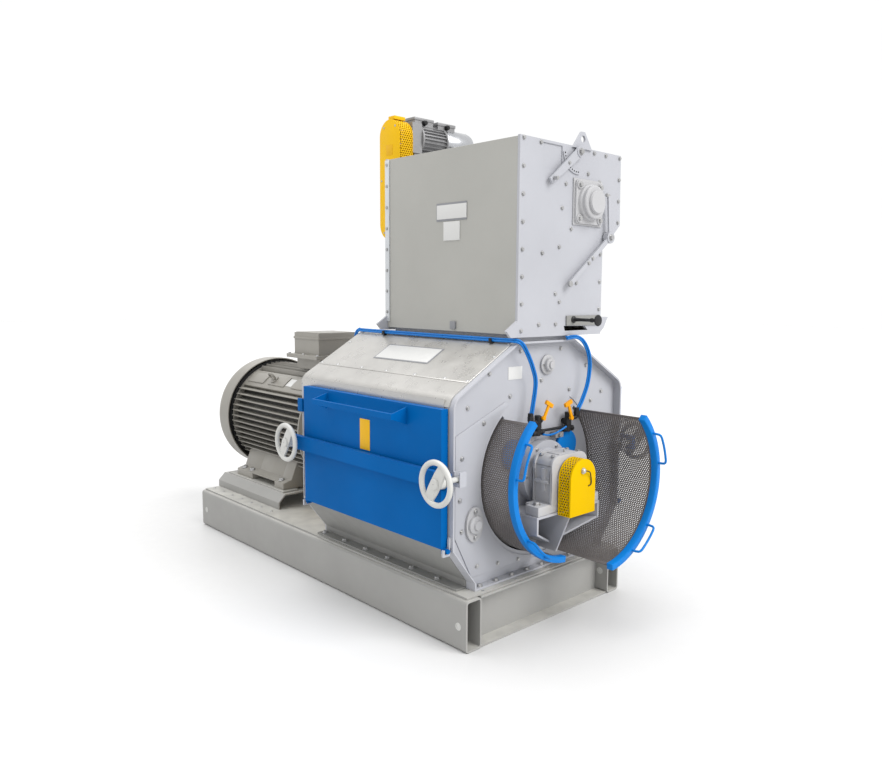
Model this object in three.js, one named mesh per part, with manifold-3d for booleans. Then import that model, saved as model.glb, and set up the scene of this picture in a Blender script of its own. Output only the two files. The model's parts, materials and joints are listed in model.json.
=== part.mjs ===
// Hammer mill with roll feeder, main motor and base frame.
// Millimetres. +X from the motor to the screen end, +Z up, -Y is the near door side.
// The origin is on the floor at the middle of the base frame's plan.
import * as THREE from 'three';
import { mergeVertices } from 'three/addons/utils/BufferGeometryUtils.js';
import { ConvexGeometry } from 'three/addons/geometries/ConvexGeometry.js';
import Module from 'manifold-3d';

const wasm = await Module();
wasm.setup();

// ---- driving dimensions ----
const GAP = 0.3;

// base frame
const BASE_L = 2184;
const BASE_W = 936;
const RAIL_W = 80;
const RAIL_H = 200;
const RAIL_T = 8;
const BED_T = 8;
const BED_Z = RAIL_H + GAP;
const BED_TOP = BED_Z + BED_T;
const DISCHARGE_X0 = 100;
const DISCHARGE_X1 = 980;
const DISCHARGE_Y = 320;

// rotor axis and mill housing section
const AXIS_Z = 605;
const HALF_W = 502;
const FOOT_W = 389;
const FOOT_Z = 239;
const SLOPE_Z = 389;
const RIDGE_Y = 168;
const RIDGE_Z = 1136;
const CORNER_Z = 938;
const CORNER_R = 60;
const REAR_X = 44;
const PLATE_T = 12;
const FRONT_X = 1006;
const RIM_X = 1055;
const RIM_T = 8;
const SHEET_T = 4;

// screens and rotor
const SCREEN_R = 321;
const SCREEN_T = 3;
const SCREEN_A0 = 43;
const SCREEN_A1 = 174;
const SCREEN_L = 950;
const SCREEN_RIM = 28;
const SHAFT_R = 45;
const BORE_R = 46.5;
const DISC_R = 205;
const PIN_R = 172;
const HAMMER_TIP = 298;
const DISC_X = [84, 296, 508, 720, 932];
const DISC_T = 12;

// side doors
const DOOR_X0 = 118;
const DOOR_X1 = 1030;
const DOOR_Z0 = 400;
const DOOR_Z1 = 909;
const DOOR_Y = 538;
const DOOR_BACK = 507;
const HINGE_Y = 520.5;
const HINGE_Z = 392;
const CLAMP_Z = 660;
const WHEEL_R = 86;
const WHEEL_X = [69, 1072];

// motor
const MOTOR_X0 = -1048;
const MOTOR_X1 = -338;
const MOTOR_R = 300;
const MOTOR_CORE = 262;
const FOOT_BASE = 290;

// feeder
const FEED_X0 = 240;
const FEED_X1 = 1055;
const FEED_Y = 180;
const FEED_TOP = 1903;
const ROLL_Y = 222;
const ROLL_Z = 1688;
const ROLL_R = 140;
const DRIVE_X = 163;
const DRIVE_Z = 2026;
const WORM_Z = 1633;

const group = new THREE.Group();
group.name = 'hammer_mill';

// ---- helpers ----
function paint(color, roughness, metalness) {
  return { color, roughness, metalness };
}
const LIGHT_GREY = paint(0xd6d8d8, 0.5, 0.1);
const BASE_GREY = paint(0xb9b7b0, 0.55, 0.1);
const MOTOR_GREY = paint(0x97918a, 0.6, 0.15);
const BLUE = paint(0x1565b5, 0.4, 0.1);
const YELLOW = paint(0xf2c010, 0.5, 0.05);
const STEEL = paint(0x9a9c9e, 0.35, 0.8);
const DARK_STEEL = paint(0x5f5b5b, 0.5, 0.7);
const COVER = paint(0xd9d8d3, 0.35, 0.5);
const WHITE = paint(0xdedfdc, 0.45, 0.1);
const BLACK = paint(0x1d1e20, 0.5, 0.1);
const ORANGE = paint(0xf2a51a, 0.45, 0.05);
const HOSE_BLUE = paint(0x1f6fd0, 0.4, 0.0);

function add(name, geometry, finish) {
  const material = new THREE.MeshStandardMaterial(finish);
  const mesh = new THREE.Mesh(geometry, material);
  mesh.name = name;
  mesh.material.name = name;
  group.add(mesh);
  return mesh;
}

function clean(geometry) {
  const g = geometry.clone();
  g.deleteAttribute('normal');
  if (g.getAttribute('uv')) {
    g.deleteAttribute('uv');
  }
  return mergeVertices(g, 1e-4);
}

function solid(geometry) {
  const g = clean(geometry);
  const mesh = new wasm.Mesh({
    numProp: 3,
    vertProperties: new Float32Array(g.getAttribute('position').array),
    triVerts: new Uint32Array(g.getIndex().array),
  });
  return new wasm.Manifold(mesh);
}

function surface(manifold) {
  const mesh = manifold.getMesh();
  const g = new THREE.BufferGeometry();
  g.setAttribute('position', new THREE.BufferAttribute(new Float32Array(mesh.vertProperties), 3));
  g.setIndex(new THREE.BufferAttribute(new Uint32Array(mesh.triVerts), 1));
  g.computeVertexNormals();
  return g;
}

function join(list) {
  return surface(wasm.Manifold.union(list.map(solid)));
}

function cut(base, tools) {
  return surface(solid(base).subtract(wasm.Manifold.union(tools.map(solid))));
}

function shapeOf(points, holes = []) {
  const shape = new THREE.Shape(points.map(([a, b]) => new THREE.Vector2(a, b)));
  for (const hole of holes) {
    shape.holes.push(new THREE.Path(hole.map(([a, b]) => new THREE.Vector2(a, b))));
  }
  return shape;
}

function extruded(points, length, holes) {
  const options = { depth: length, bevelEnabled: false, steps: 1 };
  return new THREE.ExtrudeGeometry(shapeOf(points, holes), options);
}

// profile in (y, z), extruded from x0 to x1
function alongX(points, x0, x1, holes) {
  const g = extruded(points, x1 - x0, holes);
  const m = new THREE.Matrix4().makeBasis(
    new THREE.Vector3(0, 1, 0), new THREE.Vector3(0, 0, 1), new THREE.Vector3(1, 0, 0));
  return g.applyMatrix4(m).translate(x0, 0, 0);
}

// profile in (x, z), extruded from y0 to y1
function alongY(points, y0, y1, holes) {
  const g = extruded(points, y1 - y0, holes);
  const m = new THREE.Matrix4().makeBasis(
    new THREE.Vector3(1, 0, 0), new THREE.Vector3(0, 0, 1), new THREE.Vector3(0, -1, 0));
  return g.applyMatrix4(m).translate(0, y1, 0);
}

// profile in (x, y), extruded from z0 to z1
function alongZ(points, z0, z1, holes) {
  return extruded(points, z1 - z0, holes).translate(0, 0, z0);
}

function box(x0, x1, y0, y1, z0, z1) {
  const g = new THREE.BoxGeometry(x1 - x0, y1 - y0, z1 - z0);
  return g.translate((x0 + x1) / 2, (y0 + y1) / 2, (z0 + z1) / 2);
}

function circle(a, b, r, n, turn = 0) {
  const out = [];
  for (let i = 0; i < n; i += 1) {
    const t = turn + (i / n) * Math.PI * 2;
    out.push([a + r * Math.cos(t), b + r * Math.sin(t)]);
  }
  return out;
}

function rodX(r, x0, x1, y, z, n = 24) {
  return alongX(circle(y, z, r, n), x0, x1);
}

function rodY(r, y0, y1, x, z, n = 24) {
  return alongY(circle(x, z, r, n), y0, y1);
}

function mirrored(geometry) {
  const g = clean(geometry);
  g.scale(1, -1, 1);
  const index = g.getIndex();
  for (let i = 0; i < index.count; i += 3) {
    const a = index.getX(i);
    index.setX(i, index.getX(i + 1));
    index.setX(i + 1, a);
  }
  g.computeVertexNormals();
  return g;
}

function rect(a0, a1, b0, b1) {
  return [[a0, b0], [a1, b0], [a1, b1], [a0, b1]];
}

function roundedRect(a0, a1, b0, b1, r, n) {
  const corners = [[a1 - r, b0 + r, -90], [a1 - r, b1 - r, 0], [a0 + r, b1 - r, 90], [a0 + r, b0 + r, 180]];
  const out = [];
  for (const [a, b, start] of corners) {
    for (let i = 0; i <= n; i += 1) {
      const t = ((start + (90 * i) / n) * Math.PI) / 180;
      out.push([a + r * Math.cos(t), b + r * Math.sin(t)]);
    }
  }
  return out;
}

// closed outline of a sheet of thickness t laid on the left side of a path
function sheetOutline(path, t) {
  const outer = path.map((p, i) => {
    const before = path[Math.max(i - 1, 0)];
    const here = path[i];
    const after = path[Math.min(i + 1, path.length - 1)];
    const d0 = new THREE.Vector2(here[0] - before[0], here[1] - before[1]).normalize();
    const d1 = new THREE.Vector2(after[0] - here[0], after[1] - here[1]).normalize();
    const dir = d0.clone().add(d1).normalize();
    const normal = new THREE.Vector2(-dir.y, dir.x);
    const side = i === 0 ? d1 : d0;
    const n0 = new THREE.Vector2(-side.y, side.x);
    const k = t / Math.max(normal.dot(n0), 0.3);
    return [here[0] + normal.x * k, here[1] + normal.y * k];
  });
  return [...path, ...outer.reverse()];
}

// ---- mill housing section ----
const SLOPE = Math.atan2(RIDGE_Z - CORNER_Z, HALF_W - RIDGE_Y);

// rounded corner between the vertical side and the sloping top, near side, offset outward by d
function cornerArc(d, from, to, n) {
  const reach = CORNER_R * Math.tan((Math.PI / 2 - SLOPE) / 2);
  const cy = -HALF_W + CORNER_R;
  const cz = CORNER_Z - reach;
  const out = [];
  for (let i = 0; i <= n; i += 1) {
    const t = from + ((to - from) * i) / n;
    out.push([cy + (CORNER_R + d) * Math.cos(t), cz + (CORNER_R + d) * Math.sin(t)]);
  }
  return out;
}
const ARC_END = Math.PI / 2 + SLOPE;

// half section from the foot up to the ridge, near side, offset outward by d
function halfSection(d) {
  const rise = (SLOPE_Z - FOOT_Z) / (HALF_W - FOOT_W);
  return [
    [-FOOT_W - d, BED_TOP + GAP + Math.max(-d, 0)],
    [-FOOT_W - d, FOOT_Z + d * 0.5],
    [-HALF_W - d, SLOPE_Z + d * 0.5 * Math.min(rise, 1)],
    ...cornerArc(d, Math.PI, ARC_END, 5),
    [-RIDGE_Y - d * 0.3, RIDGE_Z + d],
  ];
}

function fullSection(d) {
  const near = halfSection(d);
  const far = near.map(([y, z]) => [-y, z]).reverse();
  return [...far, ...near].reverse();
}

// arc in the (y, z) plane around the rotor axis; degrees from the top towards the near side
function axisArc(r, a0, a1, n) {
  const out = [];
  for (let i = 0; i <= n; i += 1) {
    const t = ((a0 + ((a1 - a0) * i) / n) * Math.PI) / 180;
    out.push([-r * Math.sin(t), AXIS_Z + r * Math.cos(t)]);
  }
  return out;
}

function ringSector(r0, r1, a0, a1, n) {
  return [...axisArc(r0, a0, a1, n), ...axisArc(r1, a0, a1, n).reverse()];
}

// ---- base frame ----
function baseRail() {
  const y0 = -BASE_W / 2;
  const outer = roundedRect(y0, y0 + RAIL_W, 0, RAIL_H, 16, 3);
  const inner = roundedRect(y0 + RAIL_T, y0 + RAIL_W - RAIL_T, RAIL_T, RAIL_H - RAIL_T, 8, 2);
  return alongX(outer, -BASE_L / 2, BASE_L / 2, [inner]);
}

// channel across the frame, its web at x, its flanges reaching depth towards dir
function crossChannel(x, depth, dir) {
  const t = 8;
  const y = BASE_W / 2 - RAIL_W - GAP;
  const top = RAIL_H - GAP;
  const points = [[0, 0], [depth, 0], [depth, t], [t, t], [t, top - t], [depth, top - t], [depth, top], [0, top]];
  return alongY(points.map(([a, b]) => [x + dir * a, b]), -y, y);
}

function bedPlate() {
  const outline = rect(-BASE_L / 2 + 12, BASE_L / 2 - 12, -BASE_W / 2 + 15, BASE_W / 2 - 15);
  const hole = rect(DISCHARGE_X0, DISCHARGE_X1, -DISCHARGE_Y, DISCHARGE_Y);
  return alongZ(outline, BED_Z, BED_TOP, [hole]);
}

add('base_rail_near', baseRail(), BASE_GREY);
add('base_rail_far', mirrored(baseRail()), BASE_GREY);
add('base_front_channel', crossChannel(1019, 68, 1), BASE_GREY);
add('base_mid_channel', crossChannel(-36, 76, 1), BASE_GREY);
add('base_rear_channel', crossChannel(-1019, 68, -1), BASE_GREY);
add('bed_plate', bedPlate(), BASE_GREY);

// ---- main motor ----
function motorPedestal() {
  const foot = BED_TOP + GAP;
  const top = FOOT_BASE - 8;
  const path = [[-363, foot], [-363, 241], [-331, top - 8], [331, top - 8], [363, 241], [363, foot]];
  const hat = alongX(sheetOutline(path, 8), -1085, -415);
  const near = box(-1040, -440, -330, -240, top - 0.5, FOOT_BASE);
  const far = box(-1040, -440, 240, 330, top - 0.5, FOOT_BASE);
  return join([hat, near, far]);
}

// half of the finned section: side fins from the bottom up, a smooth boss, then half of the top fins
function finSection() {
  const half = [[80, -250]];
  const onCore = (v) => Math.sqrt(MOTOR_CORE ** 2 - v ** 2);
  for (let h = -228; h <= 165; h += 30) {
    const tip = Math.sqrt(MOTOR_R ** 2 - h ** 2);
    half.push([onCore(h - 4), h - 4], [tip, h - 4], [tip, h + 4], [onCore(h + 4), h + 4]);
  }
  for (let i = 0; i <= 4; i += 1) {
    const t = ((41 + 5 * i) * Math.PI) / 180;
    half.push([288 * Math.cos(t), 288 * Math.sin(t)]);
  }
  for (let y = 105; y > 0; y -= 30) {
    const tip = Math.sqrt(MOTOR_R ** 2 - y ** 2);
    half.push([y + 4, onCore(y + 4)], [y + 4, tip], [y - 4, tip], [y - 4, onCore(y - 4)]);
  }
  const other = half.map(([y, z]) => [-y, z]).reverse();
  return [...half, ...other].map(([y, z]) => [y, z + AXIS_Z]);
}

function motorFoot() {
  const z = FOOT_BASE + GAP;
  const outline = [[-314, z], [-314, 325], [-265, 338], [-225, 440], [-150, 440], [-190, z]].reverse();
  const leg = alongX(outline, -967, -465);
  return cut(leg, [box(-795, -557, -330, -170, z - 5, 324)]);
}

function motorFrame() {
  const body = alongX(finSection(), MOTOR_X0, MOTOR_X1);
  const shield = rodX(252, MOTOR_X1 - 1, -316, 0, AXIS_Z, 32);
  const nose = rodX(120, -317, -300, 0, AXIS_Z, 24);
  const feet = [motorFoot(), mirrored(motorFoot())];
  const bore = rodX(48, MOTOR_X0 - 5, -290, 0, AXIS_Z, 24);
  return cut(join([body, shield, nose, ...feet]), [bore]);
}

function fanCowl() {
  const profile = [[0, 0], [240, 0], [296, 10], [318, 36], [322, 60], [322, 148],
    [315, 148], [315, 62], [311, 39], [292, 16], [238, 6], [0, 6]];
  const g = new THREE.LatheGeometry(profile.map(([r, x]) => new THREE.Vector2(r, x)), 40);
  return g.rotateZ(-Math.PI / 2).translate(MOTOR_X0 - 152, 0, AXIS_Z);
}

function terminalBox() {
  const neck = box(-648, -418, -110, 110, AXIS_Z + MOTOR_R + 1, 966);
  const flange = box(-683, -383, -155, 155, 965, 985);
  const lid = box(-648, -408, -125, 120, 984, 1100);
  return join([neck, flange, lid]);
}

function couplingGuard() {
  const arch = (r) => {
    const out = [[r, BED_TOP + GAP]];
    for (let i = 0; i <= 10; i += 1) {
      const t = (i / 10) * Math.PI;
      out.push([r * Math.cos(t), AXIS_Z + r * Math.sin(t)]);
    }
    out.push([-r, BED_TOP + GAP]);
    return out;
  };
  return alongX([...arch(150), ...arch(145).reverse()], -292, -128);
}

// motor shaft with its fan disc and coupling half
function motorShaft() {
  const points = [[0, -1160], [30, -1160], [30, -1130], [215, -1130], [215, -1120], [42, -1116],
    [42, -241], [110, -241], [110, -206], [0, -206]];
  const g = new THREE.LatheGeometry(points.map(([r, x]) => new THREE.Vector2(r, x)), 28);
  return g.rotateZ(-Math.PI / 2).translate(0, 0, AXIS_Z);
}

add('motor_pedestal', motorPedestal(), BASE_GREY);
add('motor_frame', motorFrame(), MOTOR_GREY);
add('motor_fan_cowl', fanCowl(), MOTOR_GREY);
add('motor_terminal_box', terminalBox(), MOTOR_GREY);
add('coupling_guard', couplingGuard(), YELLOW);
add('motor_shaft', motorShaft(), STEEL);

// ---- mill housing ----
// hook that carries a door's hinge pin, near side
function doorHook(x0, x1) {
  const y = HINGE_Y + 18;
  const points = [[-500, 440], [-508, 440], [-511, 432], [-511, HINGE_Z - 9.6], [-530.4, HINGE_Z - 9.6],
    [-530.4, 398], [-y, 398], [-y, 372], [-505.6, 372], [-505.6, 402.6], [-500, 402.6]];
  return alongX(points, x0, x1);
}

// slotted boss that receives a clamp stud, near side; the slot is open at the top
function studBoss(x) {
  const block = box(x - 18, x + 18, -HALF_W, -470, CLAMP_Z - 28, CLAMP_Z + 26);
  const slot = box(x - 12, x + 12, -HALF_W - 10, -460, CLAMP_Z - 12, CLAMP_Z + 60);
  return cut(block, [slot]);
}

function frontPlate() {
  const holes = [
    circle(0, AXIS_Z, 60, 28),
    ringSector(SCREEN_R - 7, SCREEN_R + 7, SCREEN_A0 - 2, SCREEN_A1 + 1, 24),
    ringSector(SCREEN_R - 7, SCREEN_R + 7, -SCREEN_A0 + 2, -SCREEN_A1 - 1, 24),
  ];
  const plate = alongX(fullSection(0), FRONT_X, FRONT_X + PLATE_T, holes);
  const rim = alongX(fullSection(0), FRONT_X + PLATE_T - 0.5, RIM_X, [fullSection(-RIM_T)]);
  const boss = alongX(circle(0, AXIS_Z, 132, 32), FRONT_X + PLATE_T - 0.5, 1058, [circle(0, AXIS_Z, 60, 28)]);
  const link = box(1045, 1060, -HALF_W, -478, CLAMP_Z - 28, CLAMP_Z - 13);
  const extras = [studBoss(WHEEL_X[1]), link, doorHook(1034, 1044)];
  return join([plate, rim, boss, ...extras, ...extras.map(mirrored)]);
}

function rearPlate() {
  const plate = alongX(fullSection(0), REAR_X, REAR_X + PLATE_T, [circle(0, AXIS_Z, 60, 28)]);
  const slot = box(WHEEL_X[0] - 12, WHEEL_X[0] + 12, -520, -490, CLAMP_Z - 12, CLAMP_Z + 60);
  const flange = cut(box(REAR_X + 5, 112, -HALF_W, -HALF_W + 6, 402, 900), [slot]);
  const extras = [flange, studBoss(WHEEL_X[0] + 0.5), doorHook(98, 108)];
  return join([plate, ...extras, ...extras.map(mirrored)]);
}

// sloping hopper side below the door, with its bolted foot flange, near side
function lowerSide() {
  const z = BED_TOP + GAP;
  const points = [[-440, z], [-440, z + 8], [-392, z + 8], [-392, 240], [-505, 390], [-505, 400],
    [-499, 400], [-499, 391.5], [-386, 241.5], [-386, z]];
  return alongX(points, REAR_X + PLATE_T + GAP, FRONT_X - GAP);
}

const SLOPE_DIR = [Math.cos(SLOPE), Math.sin(SLOPE)];

// point on the sloping top at a given y, offset outward by d
function onSlope(y, d) {
  const ny = -SLOPE_DIR[1];
  const nz = SLOPE_DIR[0];
  const z = RIDGE_Z + (y + RIDGE_Y) * Math.tan(SLOPE);
  return [y + ny * d, z + nz * d];
}

function shoulderCover() {
  const start = Math.PI - Math.asin(10 / CORNER_R);
  const path = [...cornerArc(GAP, start, ARC_END, 6), onSlope(-410, GAP)];
  return alongX(sheetOutline(path, SHEET_T), REAR_X, 1032);
}

function lidCover() {
  const path = [onSlope(-409, GAP), onSlope(-RIDGE_Y, GAP), [-156.3, RIDGE_Z + GAP]];
  return alongX(sheetOutline(path, SHEET_T), REAR_X, 1032);
}

function topDeck() {
  const plate = alongZ(rect(REAR_X, 1032, -156, 156), RIDGE_Z + GAP, RIDGE_Z + 6, [rect(278, 1022, -142, 142)]);
  const collar = alongZ(rect(270, 1030, -150, 150), RIDGE_Z + 5, 1162.6, [rect(278, 1022, -142, 142)]);
  return join([plate, collar]);
}

add('mill_front_plate', frontPlate(), LIGHT_GREY);
add('mill_rear_plate', rearPlate(), LIGHT_GREY);
add('lower_side_near', lowerSide(), LIGHT_GREY);
add('lower_side_far', mirrored(lowerSide()), LIGHT_GREY);
add('shoulder_cover_near', shoulderCover(), COVER);
add('shoulder_cover_far', mirrored(shoulderCover()), COVER);
add('lid_cover_near', lidCover(), COVER);
add('lid_cover_far', mirrored(lidCover()), COVER);
add('top_deck', topDeck(), LIGHT_GREY);

// ---- rotor bearings ----
// welded bracket under the bearing, hollow and open at its outer end; d runs outward from the plate at x0
function bracketBody(x0, dir) {
  const at = (d, y, z) => new THREE.Vector3(x0 + dir * d, y, z);
  const outer = [at(0, 0, 318), at(67, 0, 318)];
  const inner = [at(-1, 0, 329), at(67, 0, 329), at(180, 0, 346)];
  for (const way of [-1, 1]) {
    outer.push(at(0, way * 190, 480), at(164, way * 190, 480), at(164, way * 190, 410), at(0, way * 190, 385));
    inner.push(at(-1, way * 181, 470), at(180, way * 181, 470), at(180, way * 181, 420), at(-1, way * 181, 393));
  }
  return cut(new ConvexGeometry(outer), [new ConvexGeometry(inner)]);
}

function bracketRib(x0, dir) {
  const points = [[0, 400], [160, 470], [168, 470], [168, 448], [101, 292], [0, 292]];
  return alongY(points.map(([d, z]) => [x0 + dir * d, z]), -5, 5);
}

function bearingBracket(x0, dir) {
  return join([bracketBody(x0, dir), bracketRib(x0, dir)]);
}

// square-shouldered housing with a foot on each side
function plummerOutline(z) {
  const half = 100;
  const radius = 38;
  const top = 698;
  const arc = [];
  for (let i = 0; i <= 8; i += 1) {
    const t = (i / 8) * (Math.PI / 2);
    arc.push([half - radius + radius * Math.cos(t), top - radius + radius * Math.sin(t)]);
  }
  const right = [[185, z], [185, z + 38], [112, z + 38], [half, z + 50], ...arc];
  return [...right, ...right.map(([y, h]) => [-y, h]).reverse()];
}

function plummerBlock(x0, x1, z) {
  return alongX(plummerOutline(z), x0, x1, [circle(0, AXIS_Z, BORE_R, 32)]);
}

function bearingGuard() {
  const arch = (r, foot) => {
    const out = [[-r, foot], [r, foot]];
    for (let i = 0; i <= 12; i += 1) {
      const t = (i / 12) * Math.PI;
      out.push([r * Math.cos(t), 614 + r * Math.sin(t)]);
    }
    return out;
  };
  return cut(alongX(arch(76, 471), 1187, 1248), [alongX(arch(73, 474), 1180, 1245)]);
}

function rearBearing() {
  const x0 = REAR_X - GAP;
  const bracket = bearingBracket(x0, -1);
  const block = plummerBlock(x0 - 164, x0 - 62, 479.5);
  return join([bracket, block]);
}

const BRACKET_X = FRONT_X + PLATE_T + GAP;
const FRONT_BRACKET = bearingBracket(BRACKET_X, 1);
add('bearing_bracket', cut(FRONT_BRACKET, [rodX(133, 1010, 1059, 0, AXIS_Z, 32)]), LIGHT_GREY);
add('front_bearing', plummerBlock(1082, 1184, 480 + GAP), LIGHT_GREY);
add('bearing_guard', bearingGuard(), YELLOW);
add('rear_bearing', rearBearing(), LIGHT_GREY);

// ---- rotor ----
function rotorShaft() {
  const points = [[0, -200], [110, -200], [110, -165], [SHAFT_R, -165], [SHAFT_R, 1200], [30, 1200],
    [30, 1236], [0, 1236]];
  const g = new THREE.LatheGeometry(points.map(([r, x]) => new THREE.Vector2(r, x)), 28);
  return g.rotateZ(-Math.PI / 2).translate(0, 0, AXIS_Z);
}

function pinCentre(k) {
  const t = ((45 + 90 * k) * Math.PI) / 180;
  return [PIN_R * Math.cos(t), AXIS_Z + PIN_R * Math.sin(t)];
}

function rotorDrum() {
  const tube = alongX(circle(0, AXIS_Z, 75, 20), 84, 944, [circle(0, AXIS_Z, SHAFT_R + 1, 20)]);
  const holes = [circle(0, AXIS_Z, 70, 20)];
  for (let k = 0; k < 4; k += 1) {
    const [y, z] = pinCentre(k);
    holes.push(circle(y, z, 14, 8));
  }
  const discs = DISC_X.map((x) => alongX(circle(0, AXIS_Z, DISC_R, 24), x, x + DISC_T, holes));
  return join([tube, ...discs]);
}

// one hammer pin with its row of hammers
function hammerRow(k) {
  const z = AXIS_Z + PIN_R;
  const parts = [rodX(12, 70, 958, 0, z, 8)];
  for (let i = 0; i + 1 < DISC_X.length; i += 1) {
    for (const f of [0.28, 0.72]) {
      const shift = (k % 2) * 12 - 6;
      const x = DISC_X[i] + DISC_T + (DISC_X[i + 1] - DISC_X[i] - DISC_T) * f + shift;
      parts.push(box(x - 4, x + 4, -25, 25, z - 24, AXIS_Z + HAMMER_TIP));
    }
  }
  const g = join(parts);
  g.translate(0, 0, -AXIS_Z).rotateX(((90 * k - 45) * Math.PI) / 180).translate(0, 0, AXIS_Z);
  return g;
}

add('rotor_shaft', rotorShaft(), STEEL);
add('rotor_drum', rotorDrum(), DARK_STEEL);
for (let k = 0; k < 4; k += 1) {
  add(`hammer_row_${k + 1}`, hammerRow(k), DARK_STEEL);
}

// ---- screens ----
// half-round screen with its front rim and two pull handles; front is the rim's front face
function screen(front) {
  const back = front - SCREEN_RIM;
  const half = SCREEN_T / 2;
  const sheet = alongX(ringSector(SCREEN_R - half, SCREEN_R + half, SCREEN_A0, SCREEN_A1, 24),
    front - SCREEN_L, front - 4);
  const rim = alongX(ringSector(SCREEN_R - 12, SCREEN_R + 13, SCREEN_A0 - 1, SCREEN_A1 + 1, 24), back, front);
  const parts = [sheet, rim];
  for (const [a0, a1] of [[58, 82], [128, 151]]) {
    parts.push(alongX(ringSector(SCREEN_R - 5, SCREEN_R + 5, a0, a1, 4), front + 30, front + 40));
    parts.push(alongX(ringSector(SCREEN_R - 5, SCREEN_R + 5, a0, a0 + 2, 1), front - 2, front + 34));
    parts.push(alongX(ringSector(SCREEN_R - 5, SCREEN_R + 5, a1 - 2, a1, 1), front - 2, front + 34));
  }
  return join(parts);
}

add('screen_near', screen(1193), DARK_STEEL);
add('screen_far', mirrored(screen(1377)), DARK_STEEL);

// ---- doors ----
function door() {
  const shell = cut(box(DOOR_X0, DOOR_X1, -DOOR_Y, -DOOR_BACK, DOOR_Z0, DOOR_Z1),
    [box(DOOR_X0 + 4, DOOR_X1 - 4, -DOOR_Y + 4, -DOOR_BACK + 5, DOOR_Z0 + 4, DOOR_Z1 - 4)]);
  const parts = [shell, box(300, 836, -612, -600, 856, 878)];
  for (const x of [300, 830]) {
    const bracket = [[-DOOR_Y + 1, 831], [-DOOR_Y + 1, 898], [-606, 878], [-606, 856]].reverse();
    parts.push(alongX(bracket, x, x + 6));
  }
  for (const [x0, x1, p0, p1] of [[DOOR_X0, DOOR_X0 + 6, 94, 120], [DOOR_X1 - 6, DOOR_X1, 1028, 1052]]) {
    parts.push(box(x0, x1, -532, -509, HINGE_Z - 10, DOOR_Z0 + 6));
    parts.push(rodX(9, p0, p1, -HINGE_Y, HINGE_Z, 16));
  }
  return join(parts);
}

function clampBar() {
  const points = rect(52, 1092, CLAMP_Z - 30, CLAMP_Z + 30);
  const holes = WHEEL_X.map((x) => circle(x, CLAMP_Z, 12, 12));
  return alongY(points, -DOOR_Y - 28, -DOOR_Y - 6, holes);
}

// handwheel with its hub, two-spoke web and threaded stud, near side
function handwheel(x) {
  const y = -600;
  const rimOut = circle(x, CLAMP_Z, WHEEL_R, 28);
  const rimIn = circle(x, CLAMP_Z, WHEEL_R - 19, 28);
  const rim = alongY(rimOut, y - 10, y + 10, [rimIn]);
  const tilt = (58 * Math.PI) / 180;
  const web = box(-WHEEL_R + 8, WHEEL_R - 8, -4, 6, -22, 22).rotateY(-tilt).translate(x, y, CLAMP_Z);
  const hub = rodY(22, y - 13, -DOOR_Y - 29, x, CLAMP_Z, 16);
  const stud = rodY(9.5, -DOOR_Y - 30, -474, x, CLAMP_Z, 12);
  return join([rim, web, hub, stud]);
}

add('door_near', door(), BLUE);
add('door_far', mirrored(door()), BLUE);
add('clamp_bar_near', clampBar(), BLUE);
add('clamp_bar_far', mirrored(clampBar()), BLUE);
add('wheel_near_rear', handwheel(WHEEL_X[0]), WHITE);
add('wheel_near_front', handwheel(WHEEL_X[1]), WHITE);
add('wheel_far_rear', mirrored(handwheel(WHEEL_X[0])), WHITE);
add('wheel_far_front', mirrored(handwheel(WHEEL_X[1])), WHITE);

// ---- feeder ----
const GATE = [150, 1880];
const FLAP = [352, 1556];

function feederOutline() {
  return [[-215, 1153], [335, 1153], [335, 1505], [452, 1613], [446, FEED_TOP],
    [-FEED_Y, FEED_TOP], [-FEED_Y, 1216], [-238, 1178]];
}

function feederFrontPlate() {
  const x0 = FEED_X1 - PLATE_T;
  const holes = [
    circle(ROLL_Y, ROLL_Z, 32, 20),
    circle(FLAP[0], FLAP[1], 14, 12),
    [[93, 1192], [100, 1172], [250, 1172], [228, 1189]],
    rect(110, 314, 1194, 1230),
  ];
  const plate = alongX(feederOutline(), x0, FEED_X1, holes);
  const cheek = alongX([[330, 1226], [386, 1224], [359, 1178], [330, 1156]].reverse(), x0, FEED_X1);
  const lug = alongX([[118, 1896], [238, 1896], [190, 1962], [168, 1962]], FEED_X1 - 2, FEED_X1 + 8,
    [circle(179, 1934, 14, 12)]);
  const quadrant = [];
  for (const [r, turn] of [[68, 1], [86, -1]]) {
    for (let i = 0; i <= 8; i += 1) {
      const step = turn > 0 ? i : 8 - i;
      const t = ((185 + (95 * step) / 8) * Math.PI) / 180;
      quadrant.push([GATE[0] + r * Math.cos(t), GATE[1] + r * Math.sin(t)]);
    }
  }
  const arc = alongX(quadrant, FEED_X1 - 1, FEED_X1 + 5);
  const pocket = box(FEED_X1 - 5, FEED_X1 + 2, -52, 62, 1795, 1893);
  const gateHole = rodX(14, x0 - 5, FEED_X1 + 12, GATE[0], GATE[1], 12);
  return cut(join([cut(plate, [pocket]), cheek, lug, arc]), [gateHole]);
}

function feederBackPlate() {
  return alongX(feederOutline(), FEED_X0, FEED_X0 + PLATE_T, [circle(ROLL_Y, ROLL_Z, 32, 20)]);
}

const PANEL_X0 = FEED_X0 + PLATE_T + GAP;
const PANEL_X1 = FEED_X1 - PLATE_T - GAP;

function feederSideNear() {
  const points = [[-FEED_Y, 1163], [-136, 1163], [-136, 1167], [-176, 1167], [-176, 1895],
    [-140, 1895], [-140, 1899], [-FEED_Y, 1899]];
  return alongX(points, PANEL_X0, PANEL_X1);
}

function feederSideFar() {
  const path = [[136, 1167], [327, 1167], [327, 1508.5], [444, 1616], [444, 1899]];
  const outline = sheetOutline(path.reverse(), 4);
  return alongX(outline, PANEL_X0, PANEL_X1);
}

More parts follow.
